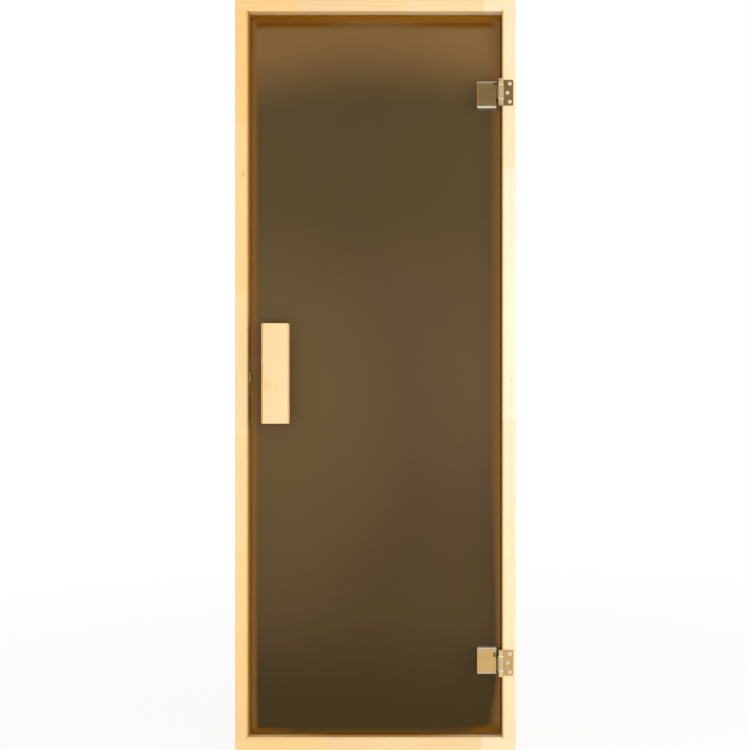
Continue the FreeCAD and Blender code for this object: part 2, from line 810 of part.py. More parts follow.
def make_washers(hinge, height):
    """Bright washers above and below the middle knuckle."""
    rings = []
    for end, low in (("top", f"{height} + arm_half + thrust_clear"), ("foot", f"{height} - gap_half")):
        disc = make_cylinder(f"{hinge}_{end}_disc", "washer_diameter / 2", "washer_thickness",
                             "pin_x", "pin_y", low, axis="z")
        hole = make_cylinder(f"{hinge}_{end}_hole", "pin_diameter / 2 + pin_seat", "washer_thickness",
                             "pin_x", "pin_y", low, axis="z")
        ring = doc.addObject("Part::Cut", f"{hinge}_{end}_ring")
        ring.Base, ring.Tool = disc, hole
        rings.append(ring)
    return gather(f"{hinge}_washers", rings)


def make_clamp_bolts(hinge, height, shift):
    """Two bolts through the clamp, with low heads on both plates."""
    bolts = []
    for end, sign in (("top", "+"), ("foot", "-")):
        z = f"{height} {shift} cover_shift {sign} clamp_pitch / 2"
        x = "pin_x + clamp_x"
        name = f"{hinge}_{end}_bolt"
        shank = make_cylinder(name + "_shank", "clamp_bolt / 2", "back_plate_back - plate_front",
                              x, "pin_y + plate_front", z)
        head = make_cylinder(name + "_head", "clamp_bolt_head / 2", "clamp_head_height",
                             x, "pin_y + plate_front - clamp_head_height", z)
        nut = make_cylinder(name + "_nut", "clamp_bolt_head / 2", "clamp_head_height",
                            x, "pin_y + back_plate_back", z)
        bolts.append(join(name, [shank, head, nut]))
    return gather(f"{hinge}_clamp_bolts", bolts)


# Handles: a bevelled board each side of the glass, held off it by a block

HANDLES = [
    ("outer_handle", "glass_front", -1),
    ("inner_handle", "glass_back", 1),
]


def outward(rule, side):
    """Depth of a handle's point from its own face of the glass."""
    return f"-({rule})" if side < 0 else rule


def make_handle(label, face, side):
    """Board with a bevelled edge at the latch side and a free finger edge at the other."""
    body = start_body(label, "handle_left", face, "handle_low")

    def place(along, away):
        return (along, outward(away, side))

    section = start_sketch(body, "XY_Plane", label + "_section", "0")
    draw_outline(section, turned([
        ("0", "handle_standoff"),
        ("handle_width - handle_round", "handle_standoff"),
        ("handle_width", "handle_standoff + handle_round", "handle_round", 1),
        ("handle_width", "handle_reach - handle_round"),
        ("handle_width - handle_round", "handle_reach", "handle_round", 1),
        ("handle_bevel", "handle_reach"),
        ("0", "handle_reach - handle_bevel_depth"),
    ], place, side))
    grow(body, section, "handle_height")
    round_edges(body, lambda edge: not near(edge.Length, number("handle_height")), "handle_end_round",
                label + "_ends")
    bores = start_sketch(body, "XZ_Plane", label + "_bores", outward("handle_reach", -side))
    draw_handle_circles(bores, "plug_diameter / 2")
    cut(body, bores, "bore_depth", back=side > 0)
    holes = start_sketch(body, "XZ_Plane", label + "_bolt_holes", outward("handle_reach", -side))
    draw_handle_circles(holes, "handle_bolt / 2 + bolt_hole_clear")
    cut(body, holes, "handle_thickness", back=side > 0)
    return body


def draw_handle_circles(sketch, radius):
    """Circles at the two handle bolts, in the handle's own coordinates."""
    middle = "handle_height / 2 + handle_bolt_lift"
    draw_circle(sketch, "handle_bolt_inset", f"{middle} + handle_bolt_pitch / 2", radius, "top")
    draw_circle(sketch, "handle_bolt_inset", f"{middle} - handle_bolt_pitch / 2", radius, "foot")


def make_block(label, face, side):
    """Block that carries the handle board off the glass."""
    body = start_body(label + "_block", "handle_left", face, "handle_low")
    level = "0" if side < 0 else "-handle_standoff"
    plan = start_sketch(body, "XZ_Plane", label + "_block_plan", level)
    draw_outline(plan, rounded("0", "handle_height / 2 - block_height / 2", "block_width",
                               "handle_height / 2 + block_height / 2", "block_round"))
    grow(body, plan, "handle_standoff")
    holes = start_sketch(body, "XZ_Plane", label + "_block_holes", level)
    draw_handle_circles(holes, "handle_bolt / 2 + bolt_hole_clear")
    cut(body, holes, "handle_standoff", back=True)
    return body


def make_plugs(label, face, side):
    """Wooden plugs flush with the board, over the bolt heads."""
    plugs = []
    for end, z in (("top", "handle_bolt_high"), ("foot", "handle_bolt_low")):
        start = "glass_front - handle_reach" if side < 0 else "glass_back + handle_reach - plug_depth"
        plugs.append(make_cylinder(f"{label}_{end}_plug", "plug_diameter / 2 - plug_clear", "plug_depth",
                                   "handle_bolt_x", start, z))
    return gather(label + "_plugs", plugs)


def make_handle_bolts():
    """Two bolts that hold both handles through the glass."""
    bolts = []
    front = "glass_front - handle_reach + bore_depth"
    rear = "glass_back + handle_reach - bore_depth"
    for end, z in (("top", "handle_bolt_high"), ("foot", "handle_bolt_low")):
        name = f"handle_{end}_bolt"
        shank = make_cylinder(name + "_shank", "handle_bolt / 2", f"{rear} - ({front})",
                              "handle_bolt_x", front, z)
        head = make_cylinder(name + "_head", "handle_bolt_head / 2", "handle_head_height",
                             "handle_bolt_x", f"{front} - handle_head_height", z)
        nut = make_cylinder(name + "_nut", "handle_bolt_head / 2", "handle_head_height",
                            "handle_bolt_x", rear, z)
        bolts.append(join(name, [shank, head, nut]))
    return gather("handle_bolts", bolts)


# Roller catch: drawn round the roller's axis, at the roller's middle

def start_catch_body(label):
    """Start a catch piece at the middle of the roller."""
    return start_body(label, "roller_x", "roller_y", "catch_rise")


def make_catch_plate():
    """Face plate let into the reveal, with a slot for the roller and two screw holes."""
    body = start_catch_body("catch_face_plate")
    plate = start_sketch(body, "YZ_Plane", "catch_plate_outline", "plate_rear_x")
    draw_outline(plate, rounded("-catch_plate_width / 2", "-catch_plate_height / 2",
                                "catch_plate_width / 2", "catch_plate_height / 2", "catch_plate_corner"))
    grow(body, plate, "catch_plate_thickness")
    slot = start_sketch(body, "YZ_Plane", "catch_plate_slot", "plate_face_x")
    draw_rectangle(slot, "-roller_radius - plate_slot_clear", "-yoke_high_z - plate_slot_clear",
                   "roller_radius + plate_slot_clear", "yoke_high_z + plate_slot_clear")
    cut(body, slot)
    holes = start_sketch(body, "YZ_Plane", "catch_plate_holes", "plate_face_x")
    draw_circle(holes, "0", "catch_screw_pitch / 2", "catch_screw_hole / 2", "top")
    draw_circle(holes, "0", "-catch_screw_pitch / 2", "catch_screw_hole / 2", "foot")
    cut(body, holes)
    return body


def make_catch_case():
    """Case behind the face plate, open towards the door."""
    body = start_catch_body("catch_case")
    block = start_sketch(body, "YZ_Plane", "catch_case_block", "case_outer_x")
    draw_rectangle(block, "-case_width / 2", "-case_height / 2", "case_width / 2", "case_height / 2")
    grow(body, block, "plate_rear_x - case_outer_x")
    hollow = start_sketch(body, "YZ_Plane", "catch_case_hollow", "plate_rear_x")
    draw_rectangle(hollow, "-case_width / 2 + case_wall", "-case_height / 2 + case_wall",
                   "case_width / 2 - case_wall", "case_height / 2 - case_wall")
    cut(body, hollow, "plate_rear_x - case_inner_x")
    return body


def make_catch_yoke():
    """Yoke that carries the roller and slides into the case."""
    body = start_catch_body("catch_yoke")
    side = start_sketch(body, "XZ_Plane", "catch_yoke_side", "-yoke_width / 2")
    draw_outline(side, [
        ("yoke_outer_x", "-yoke_high_z"),
        ("yoke_nose", "-yoke_high_z"),
        ("yoke_nose", "-yoke_low_z"),
        ("yoke_inner_x", "-yoke_low_z"),
        ("yoke_inner_x", "yoke_low_z"),
        ("yoke_nose", "yoke_low_z"),
        ("yoke_nose", "yoke_high_z"),
        ("yoke_outer_x", "yoke_high_z"),
    ])
    grow(body, side, "yoke_width")
    bore = start_sketch(body, "XY_Plane", "catch_yoke_bore", "-case_height")
    draw_circle(bore, "0", "0", "roller_pin / 2 + pin_seat")
    cut(body, bore, "2 * case_height", back=True)
    return body


def make_catch_pin():
    """Pin of the roller, held by the yoke."""
    pin = make_cylinder("catch_roller_pin", "roller_pin / 2", "2 * yoke_high_z", "roller_x", "roller_y",
                        "catch_rise - yoke_high_z", axis="z")
    pin.Label = "catch_roller_pin"
    return pin


def make_roller():
    """Crowned roller that the glass edge rides over."""
    body = start_catch_body("catch_roller")
    half = start_sketch(body, "XZ_Plane", "catch_roller_half", "0")
    draw_outline(half, [
        ("roller_pin / 2 + roller_fit", "-roller_height / 2"),
        ("roller_radius - roller_crown", "-roller_height / 2"),
        ("roller_radius - roller_crown", "roller_height / 2",
         "(roller_height * roller_height / 4 + roller_crown * roller_crown) / (2 * roller_crown)", 1),
        ("roller_pin / 2 + roller_fit", "roller_height / 2"),
    ])
    turn = body.newObject("PartDesign::Revolution", "catch_roller_turn")
    turn.Profile = half
    turn.ReferenceAxis = (half, ["V_Axis"])
    turn.Angle = 360
    body.Tip = turn
    doc.recompute()
    return body


def make_all():
    """Make every sub-part of the door."""
    parts = [
        make_cross_member("frame_head", on_head, -1),
        make_cross_member("frame_sill", on_sill, 1),
        make_stile("hinge_stile", on_hinge_stile, 1),
        make_stile("latch_stile", on_latch_stile, -1),
        make_cross_seal("head_seal", on_head, -1),
        make_cross_seal("sill_seal", on_sill, 1),
        make_side_seal("hinge_side_seal", on_hinge_stile, 1),
        make_side_seal("latch_side_seal", on_latch_stile, -1),
        make_glass(),
        make_handle_bolts(),
        make_catch_plate(),
        make_catch_case(),
        make_catch_yoke(),
        make_catch_pin(),
        make_roller(),
    ]
    cut_mortise(next(part for part in parts if part.Label == "latch_stile"))
    for hinge, height, shift in HINGES:
        parts += [
            make_frame_leaf(hinge, height),
            make_pin(hinge, height),
            make_washers(hinge, height),
            make_arm(hinge, height, shift),
            make_cover(hinge, height, shift),
            make_back_plate(hinge, height, shift),
            make_clamp_bolts(hinge, height, shift),
        ]
        parts += make_clamp_pads(hinge, height, shift)
    for label, face, side in HANDLES:
        parts += [
            make_handle(label, face, side),
            make_block(label, face, side),
            make_plugs(label, face, side),
        ]
    return parts


def check_document(parts):
    """Stop where any object failed or any sub-part has no sound shape."""
    for item in doc.Objects:
        if "Invalid" in item.State or "Error" in item.State:
            raise RuntimeError(f"{item.Label} failed: {item.State}")
    for part in parts:
        if part.Shape.isNull() or not part.Shape.isValid():
            raise RuntimeError(f"{part.Label} has no sound shape")


def write_parts(parts):
    """Write each sub-part under its own name."""
    os.makedirs("parts", exist_ok=True)
    for part in parts:
        part.Shape.exportStep(f"parts/{part.Label}.step")
        print(f"{part.Label}: {len(part.Shape.Solids)} solid, {part.Shape.Volume / 1000:.1f} cm3")


places = fill_sheets()
pieces = make_all()
doc.recompute()
check_document(pieces)
write_parts(pieces)
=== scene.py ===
"""Looks of the framed sauna door: pale jointed wood, satin bronze glass and plated hinges."""

import math

import bmesh
import bpy
from mathutils import Matrix, Vector


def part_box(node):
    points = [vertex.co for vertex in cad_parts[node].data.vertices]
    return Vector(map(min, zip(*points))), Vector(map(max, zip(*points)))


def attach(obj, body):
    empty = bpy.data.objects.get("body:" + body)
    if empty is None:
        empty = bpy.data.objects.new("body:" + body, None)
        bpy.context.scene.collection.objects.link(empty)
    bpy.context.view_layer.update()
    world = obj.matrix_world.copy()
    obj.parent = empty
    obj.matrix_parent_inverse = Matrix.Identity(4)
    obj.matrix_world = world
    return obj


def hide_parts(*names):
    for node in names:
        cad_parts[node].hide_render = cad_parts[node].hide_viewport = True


bl_info = {
    "name": "Sauna door looks",
    "version": (1, 0, 0),
    "blender": (4, 5, 0),
    "location": "3D View > Sidebar > Sauna door",
    "description": "Finishes, screws and stage of a framed glass sauna door",
    "category": "Object",
}

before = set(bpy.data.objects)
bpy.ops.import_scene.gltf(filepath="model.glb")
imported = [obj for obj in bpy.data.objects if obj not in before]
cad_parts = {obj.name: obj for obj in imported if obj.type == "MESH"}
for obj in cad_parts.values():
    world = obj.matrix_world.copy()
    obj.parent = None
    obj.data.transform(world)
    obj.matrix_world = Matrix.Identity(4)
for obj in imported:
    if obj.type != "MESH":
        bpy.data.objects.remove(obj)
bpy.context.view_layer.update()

HINGES = ("upper_hinge", "lower_hinge")
SIDES = ("outer", "inner")
SILL_LOW, SILL_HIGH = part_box("frame_sill")
HEAD_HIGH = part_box("frame_head")[1]
GLASS_LOW, GLASS_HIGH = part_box("door_glass")
DOOR_MIDDLE_X = (GLASS_LOW.x + GLASS_HIGH.x) / 2
DOOR_MIDDLE_Z = (GLASS_LOW.z + GLASS_HIGH.z) / 2
GLASS_HALF_WIDE = (GLASS_HIGH.x - GLASS_LOW.x) / 2
GLASS_HALF_HIGH = (GLASS_HIGH.z - GLASS_LOW.z) / 2
FRAME_FRONT = SILL_LOW.y
FRAME_HALF = SILL_HIGH.x


# Sizes and colours that a user would change

def colour(name, words, value):
    """A colour property, given in linear light."""
    return bpy.props.FloatVectorProperty(
        name=name, description=words, default=value, subtype="COLOR", size=3, min=0, max=1)


def length(name, words, value):
    """A length property, in metres."""
    return bpy.props.FloatProperty(
        name=name, description=words, default=value, unit="LENGTH", min=0)


def share(name, words, value):
    """A plain number from 0 to 1."""
    return bpy.props.FloatProperty(name=name, description=words, default=value, min=0, max=1)


class WoodLooks(bpy.types.PropertyGroup):
    """Colours and grain of the frame and the handles, with the painted shade of the rebate and of
    the handle's bevel.
    """
    stile_warm: colour("Latch stile", "Warm pale wood of the latch stile", (0.93, 0.600, 0.235))
    stile_pale: colour("Hinge stile", "Paler wood of the hinge stile", (0.92, 0.800, 0.570))
    # Inner edge, rebate and sill rebate colours are painted shade where the frame turns into the
    # opening.
    edge_shade_tone: colour("Inner edge", "Amber of the edge round the opening", (0.66, 0.44, 0.20))
    rebate_shade_tone: colour("Rebate", "Brown of the depth of the rebate", (0.47, 0.41, 0.16))
    sill_shade_tone: colour("Sill rebate", "Amber brown of the sill's rebate", (0.62, 0.42, 0.12))
    # Bevel colour is painted shade on the handle's bevel turned left.
    bevel_shade_tone: colour("Bevel", "Amber of the handle's bevel", (0.92, 0.60, 0.26))
    grain_pitch: length("Grain pitch", "Distance between growth rings", 0.0065)
    grain_depth: share("Grain contrast", "How much darker the late wood is", 0.020)


class GlassLooks(bpy.types.PropertyGroup):
    """Colours of the satin bronze glass from top to bottom, with painted reflection and shade, and
    of its edge band, a painted view of the lit stop.
    """
    # Top to bottom: painted reflection and shade, lighter at the top, darker towards the bottom.
    top: colour("Top", "Bronze at the top", (0.195, 0.106, 0.036))
    upper: colour("Upper", "Bronze below the upper hinge", (0.085, 0.054, 0.0205))
    middle: colour("Middle", "Bronze at the handle's height", (0.105, 0.065, 0.0285))
    lower: colour("Lower", "Bronze below the handle", (0.077, 0.046, 0.017))
    bottom: colour("Bottom", "Bronze at the bottom", (0.050, 0.032, 0.0075))
    # Side, end and corner bands: painted view of the lit stop through the glass edge; the corner
    # band is deeper painted shade.
    side_band: colour("Side band", "Amber of the stop at the sides", (0.212, 0.104, 0.027))
    end_band: colour("End band", "Amber of the stop at top and bottom", (0.225, 0.088, 0.004))
    corner_shade_band: colour("Corner band", "Deeper amber in the corners", (0.185, 0.066, 0.001))
    # Glow: painted light round the handle.
    glow: colour("Glow", "Bronze of the lighter area round the handle", (0.165, 0.103, 0.036))
    band_width: length("Band width", "How far the stop shows in from the glass edge", 0.0095)
    roughness: share("Roughness", "Roughness of the etched face", 0.38)


class MetalLooks(bpy.types.PropertyGroup):
    """Colours of the plated steel, and the size of the screws."""
    hinge_plate: colour("Hinges", "Plated steel of the hinges", (0.64, 0.41, 0.16))
    cover_plate: colour("Covers", "Plated steel of the hinge covers", (0.69, 0.45, 0.175))
    arm_plate: colour("Arms", "Darker steel of the hinge arms", (0.33, 0.25, 0.10))
    # Barrels: paler by polish and by painted highlight.
    barrel_plate: colour("Barrels", "Polished steel of the hinge barrels", (0.83, 0.68, 0.39))
    bright_plate: colour("Bright plate", "Plated steel of washers and pins", (0.90, 0.87, 0.72))
    screw_plate: colour("Screws", "Plated steel of the screws and bolt heads", (0.86, 0.83, 0.66))
    # Cover ends: painted highlight on faces turned up and near the ends; faces turned down get
    # painted highlight on the upper cover and painted shade on the lower.
    cover_end_highlight: colour("Cover ends", "Polished ends of the hinge covers", (0.90, 0.83, 0.66))
    cover_end_shade: colour("Dull cover end", "Lower end of the lower hinge's cover", (0.36, 0.30, 0.17))
    roller_plate: colour("Roller", "Steel of the roller and its pin", (0.40, 0.33, 0.15))
    catch_plate: colour("Catch", "Brass plate of the catch", (0.52, 0.33, 0.085))
    screw_head: length("Screw head", "Diameter of a screw head", 0.0096)
    screw_dome: length("Screw dome", "Height of a screw head", 0.0016)
    bolt_head: length("Bolt head", "Diameter of a clamp bolt's head", 0.014)


class StageLooks(bpy.types.PropertyGroup):
    """Camera and light."""
    distance: length("Camera distance", "From the camera to the front of the frame", 2.5)
    picture_width: length("Picture width", "Width of the picture at the frame's front", 1.875)
    camera_right: length("Camera to the right", "How far right of the door it stands", 0.40)
    camera_height: length("Camera height", "Height of the camera over the floor", 0.844)
    picture_height: length("Picture middle", "Height of the picture's middle", 0.938)
    round_light: share("Light all round", "Strength of the pale light from all sides", 0.85)
    front_light: share("Light above the camera", "Strength of the light from there", 0.24)


# Shader maths

class Wire:
    """A shader socket that takes part in plain arithmetic."""

    def __init__(self, finish, socket):
        self.finish = finish
        self.socket = socket

    def work(self, operation, *values):
        sockets = dict(enumerate(values))
        node = self.finish.node("ShaderNodeMath", {"operation": operation}, sockets)
        return Wire(self.finish, node.outputs[0])

    def __add__(self, other):
        return self.work("ADD", self, other)

    def __radd__(self, other):
        return self.work("ADD", other, self)

    def __sub__(self, other):
        return self.work("SUBTRACT", self, other)

    def __rsub__(self, other):
        return self.work("SUBTRACT", other, self)

    def __mul__(self, other):
        return self.work("MULTIPLY", self, other)

    def __rmul__(self, other):
        return self.work("MULTIPLY", other, self)

    def __truediv__(self, other):
        return self.work("DIVIDE", self, other)

    def __pow__(self, other):
        return self.work("POWER", self, other)

    def __abs__(self):
        return self.work("ABSOLUTE", self)

    def least(self, other):
        return self.work("MINIMUM", self, other)

    def sine(self):
        return self.work("SINE", self)

    def to_and_fro(self, span):
        return self.work("PINGPONG", self, span)

    def root(self):
        return self.work("SQRT", self)


class Finish:
    """One material and the nodes that make it."""

    def __init__(self, name):
        self.material = bpy.data.materials.new(name)
        self.material.use_nodes = True
        self.tree = self.material.node_tree
        self.tree.nodes.clear()

    def node(self, kind, settings=None, sockets=None):
        """Add a node: its settings first, then the values or links of its sockets."""
        node = self.tree.nodes.new(kind)
        for name, value in (settings or {}).items():
            if name == "stops":
                self.set_stops(node.color_ramp, value)
            else:
                setattr(node, name, value)
        for name, value in (sockets or {}).items():
            socket = node.inputs[name]
            if isinstance(value, Wire):
                value = value.socket
            if isinstance(value, bpy.types.NodeSocket):
                self.tree.links.new(value, socket)
            elif socket.type == "RGBA" and len(value) == 3:
                socket.default_value = (*value, 1)
            else:
                socket.default_value = value
        return node

    @staticmethod
    def set_stops(ramp, stops):
        """Give a colour ramp its stops."""
        while len(ramp.elements) < len(stops):
            ramp.elements.new(0.5)
        for element, (place, tone) in zip(ramp.elements, stops):
            element.position = place
            element.color = (*tone, 1)

    def place(self):
        """X, Y and Z in the piece's own coordinates, and the three together."""
        where = self.node("ShaderNodeTexCoord").outputs["Object"]
        parts = self.node("ShaderNodeSeparateXYZ", sockets={"Vector": where})
        return [Wire(self, parts.outputs[index]) for index in range(3)], where

    def facing(self):
        """The three parts of the surface's own direction."""
        normal = self.node("ShaderNodeTexCoord").outputs["Normal"]
        parts = self.node("ShaderNodeSeparateXYZ", sockets={"Vector": normal})
        return [Wire(self, parts.outputs[index]) for index in range(3)]

    def stretched(self, where, scale):
        """Coordinates scaled by a different number along each axis."""
        node = self.node("ShaderNodeVectorMath", {"operation": "MULTIPLY"}, {0: where, 1: scale})
        return node.outputs[0]

    def noise(self, where, scale, detail=2.0, roughness=0.5):
        """Soft noise from 0 to 1."""
        node = self.node("ShaderNodeTexNoise", sockets={
            "Vector": where, "Scale": scale, "Detail": detail, "Roughness": roughness})
        return Wire(self, node.outputs[0])

    def ramp(self, value, stops, interpolation):
        """Colour picked from stops by a value."""
        node = self.node("ShaderNodeValToRGB", {"stops": stops}, {"Fac": value})
        node.color_ramp.interpolation = interpolation
        return node.outputs["Color"]

    def smooth(self, value, low, high):
        """0 below low, 1 above high and a soft step between."""
        node = self.node("ShaderNodeMapRange", {"interpolation_type": "SMOOTHSTEP"},
                         {"Value": value, "From Min": low, "From Max": high})
        return Wire(self, node.outputs[0])

    def between(self, value, rise, fall):
        """1 between two soft steps, each (start, end), and 0 outside them."""
        return self.smooth(value, *rise) * (1 - self.smooth(value, *fall))

    def grey(self, value):
        """A grey colour with the value in all three parts."""
        node = self.node("ShaderNodeCombineColor", sockets={0: value, 1: value, 2: value})
        return node.outputs[0]

    def shaded(self, tone, value):
        """A colour made lighter or darker by a value."""
        return self.mix(1.0, tone, self.grey(value), "MULTIPLY")

    def tinted(self, factor, tone, tint):
        """A colour multiplied by a tint as far as a factor says."""
        return self.mix(factor, tone, tint, "MULTIPLY")

    def mix(self, factor, first, second, blend="MIX"):
        """Two colours mixed by a factor."""
        node = self.node("ShaderNodeMix", {"data_type": "RGBA", "blend_type": blend},
                         {0: factor, 6: first, 7: second})
        return node.outputs[2]

    def bump(self, height, strength, distance):
        """Surface direction tilted by a height."""
        node = self.node("ShaderNodeBump", sockets={
            "Height": height, "Strength": strength, "Distance": distance})
        return node.outputs[0]

    def surface(self, **sockets):
        """End the material in one surface shader."""
        named = {name.replace("_", " "): value for name, value in sockets.items()}
        shader = self.node("ShaderNodeBsdfPrincipled", sockets=named)
        self.node("ShaderNodeOutputMaterial", sockets={"Surface": shader.outputs[0]})
        return self.material


# Wood: scales of noise are (across the grain, along the grain)

JOINT_FINGER = 0.010
JOINT_PITCH = 0.0065
JOINT_BLUR = JOINT_FINGER * 0.3
RING_SHIFT = 0.013
RING_SWAY = 0.012
RING_SWAY_DEEP = 0.5
RING_WOBBLE = 9.0
SWAY_GRAIN = (3.0, 0.9)
SWAY_SCALE = 2.2
WOBBLE_GRAIN = (90, 1.4)
FIBRE_GRAIN = (900, 14)
STREAK_GRAIN = (95, 2.6)
CLOUD_GRAIN = (14, 5.0)
LATE_STEP = (0.1, 1.0)
CLOUD_PALENESS = 0.35
FIBRE_SHADE = 0.05
STREAK_SHADE = 0.07
LATE_WARMTH = 0.07
LATE_TINT = (1.0, 0.88, 0.68)
END_STEP = (0.80, 0.95)
END_SHARE = 0.45
END_TINT = (0.72, 0.52, 0.32)
KNOT_STRETCH = 0.45
KNOT_CORE = 0.35
KNOT_HALO = 3.2
KNOT_CORE_SHARE = 0.55
KNOT_CORE_TONE = (0.44, 0.30, 0.13)
KNOT_HALO_SHARE = 0.30
KNOT_HALO_TINT = (0.86, 0.58, 0.30)
SEAM_STEP = (0.00028, 0.00112)
SEAM_SHARE = 0.40
SEAM_TONE = (0.60, 0.36, 0.14)
SEAM_DIP = 2
PLUG_STEP = (0.0003, 0.0012)
PLUG_SHARE = 0.30
PLUG_TINT = (0.93, 0.66, 0.36)
PLUG_DIP = 0.5
# Painted shade on a handle's bevel turned left.
BEVEL_SHADE_STEP = (0.15, 0.35)
BEVEL_SHADE_SHARE = 0.75
WOOD_ROUGHNESS = 0.50
WOOD_SPECULAR = 0.30

# Rebate: its tints round the opening, in the rebate and behind the glass edge are painted shade.
# Steps of depth are shares of REBATE_DEPTH behind the frame's front

REBATE_DEPTH = 0.030
MEMBER_FACE = 0.0325
EDGE_STEP = (MEMBER_FACE - 0.0060, MEMBER_FACE - 0.0010)
EDGE_FADE = (1.0, 1.2)
OUTER_STEP = (0.028, 0.030)
FLAT_STEP = (0.95, 0.99)
REVEAL_RISE = (-0.15, 0.40)
REVEAL_FALL = (1.0, 1.1)
STOP_RISE = (0.9, 1.0)
STOP_FALL = (1.6, 1.8)
STOP_SHARE = 0.5
BEHIND_RISE = (0.50, 0.85)
BEHIND_FALL = (1.05, 1.15)
HEAD_STEP = (1.0, 1.1)
HEAD_DELAY = 0.15
SILL_CORNER_STEP = (0.08, 0.27)


def wood_finish(name, along, across, boards, heart, knots=(), seam=(), edge=0.0, rebate=0.0,
                brown=None, glass_edge_shade=None, plugs=None):
    """Pale jointed wood.

    along and across are the axes of the grain and of the face's width. boards are the jointed
    lengths, each (start along the grain, shade, paleness from 0 to 1). heart is the middle of the
    growth rings in the two axes across the grain. knots are (place along, place across, radius).
    seam is where the ends butt. edge is how strong the painted amber shade is on the edge round the
    opening, and rebate how strong the painted brown shade in the rebate. brown is the painted shade
    of a sill's rebate, which fades towards the corners. beneath is the painted shade of the rebate
    behind the glass edge. plugs is (middle x, middle z, half the pitch, radius) of the plugs in a
    handle; a piece with plugs also gets painted shade on its bevel turned left.
    """
    looks = bpy.context.scene.sauna_wood
    finish = Finish(name)
    axes, where = finish.place()
    normal = finish.facing()
    run, side, deep = axes[along], axes[across], axes[3 - along - across]

    shade, paleness, shift = board_tones(finish, run, deep, boards)
    late = late_wood(finish, where, along, side - heart[0] + shift, deep - heart[1])
    fibre = grain_noise(finish, where, along, FIBRE_GRAIN, 3.0, 0.6)
    streak = grain_noise(finish, where, along, STREAK_GRAIN)
    cloud = grain_noise(finish, where, along, CLOUD_GRAIN)

    paleness = paleness + (cloud - 0.5) * CLOUD_PALENESS
    base = finish.mix(paleness, looks.stile_warm, looks.stile_pale)
    shade = shade - late * looks.grain_depth
    shade = shade + (fibre - 0.5) * FIBRE_SHADE + (streak - 0.5) * STREAK_SHADE
    base = finish.shaded(base, shade)
    base = finish.tinted(late * LATE_WARMTH, base, LATE_TINT)
    end = finish.smooth(abs(normal[along]), *END_STEP)
    base = finish.tinted(end * END_SHARE, base, END_TINT)
    # Painted shade: amber round the opening, brown in the rebate and behind the glass edge.
    if rebate:
        near, depth, behind = rebate_shade_shares(finish, axes, normal)
        base = finish.tinted(near * edge, base, looks.edge_shade_tone)
        if brown:
            depth = depth * (1 - finish.smooth(abs(run), *SILL_CORNER_STEP))
        base = finish.tinted(depth * rebate, base, brown or looks.rebate_shade_tone)
        if glass_edge_shade:
            base = finish.tinted(behind, base, glass_edge_shade)
    base = add_knots(finish, base, run, side, knots)

    height = fibre * 0.6 + late * 0.4
    for place in seam:
        line = 1 - finish.smooth(abs(run - place), *SEAM_STEP)
        base = finish.mix(line * SEAM_SHARE, base, SEAM_TONE)
        height = height - line * SEAM_DIP
    if plugs:
        line = plug_line(finish, axes, *plugs)
        base = finish.tinted(line * PLUG_SHARE, base, PLUG_TINT)
        # Painted shade on the bevel turned left.
        bevel = finish.smooth(0 - normal[0], *BEVEL_SHADE_STEP)
        base = finish.tinted(bevel * BEVEL_SHADE_SHARE, base, looks.bevel_shade_tone)
        height = height - line * PLUG_DIP

    return finish.surface(
        Base_Color=base, Roughness=WOOD_ROUGHNESS + fibre * 0.12 - late * 0.05,
        Specular_IOR_Level=WOOD_SPECULAR, Normal=finish.bump(height, 0.25, 0.0002))


def board_tones(finish, run, deep, boards):
    """Shade and paleness along the jointed boards, and how far their growth rings are shifted."""
    fingers = deep.to_and_fro(JOINT_PITCH) * (JOINT_FINGER / JOINT_PITCH)
    shade, paleness, shift = boards[0][1], boards[0][2], 0.0
    for (start, tone, pale), before in zip(boards[1:], boards):
        passed = finish.smooth(run + fingers, start, start + JOINT_BLUR)
        shade = shade + passed * (tone - before[1])
        paleness = paleness + passed * (pale - before[2])
        shift = shift + passed * RING_SHIFT
    return shade, paleness, shift


def grain_noise(finish, where, along, scales, detail=2.0, roughness=0.5, scale=1.0):
    """Soft noise drawn out along the grain."""
    stretch = [scales[0]] * 3
    stretch[along] = scales[1]
    return finish.noise(finish.stretched(where, stretch), scale, detail, roughness)


def late_wood(finish, where, along, off_side, off_deep):
    """How far a place is in late wood, from 0 to 1, by its two distances from the heart."""
    sway = grain_noise(finish, where, along, SWAY_GRAIN, 1.0, scale=SWAY_SCALE) - 0.5
    off_side = off_side + sway * RING_SWAY
    off_deep = off_deep + sway * RING_SWAY * RING_SWAY_DEEP
    reach = (off_side * off_side + off_deep * off_deep).root()
    wobble = grain_noise(finish, where, along, WOBBLE_GRAIN) * RING_WOBBLE
    turns = reach / bpy.context.scene.sauna_wood.grain_pitch
    return finish.smooth((turns * math.tau + wobble).sine(), *LATE_STEP)


def add_knots(finish, base, run, side, knots):
    """The wood's colour with small knots in it."""
    for spot_along, spot_side, size in knots:
        gap = (((run - spot_along) * KNOT_STRETCH) ** 2 + (side - spot_side) ** 2).root()
        core = 1 - finish.smooth(gap, size * KNOT_CORE, size)
        halo = 1 - finish.smooth(gap, size, size * KNOT_HALO)
        base = finish.tinted(halo * KNOT_HALO_SHARE, base, KNOT_HALO_TINT)
        base = finish.mix(core * KNOT_CORE_SHARE, base, KNOT_CORE_TONE)
    return base


def plug_line(finish, axes, middle_x, middle_z, half_pitch, radius):
    """The line round the plugs of a handle, from 0 to 1."""
    rise = abs(axes[2] - middle_z) - half_pitch
    gap = abs(((axes[0] - middle_x) ** 2 + rise ** 2).root() - radius)
    return 1 - finish.smooth(gap, *PLUG_STEP)


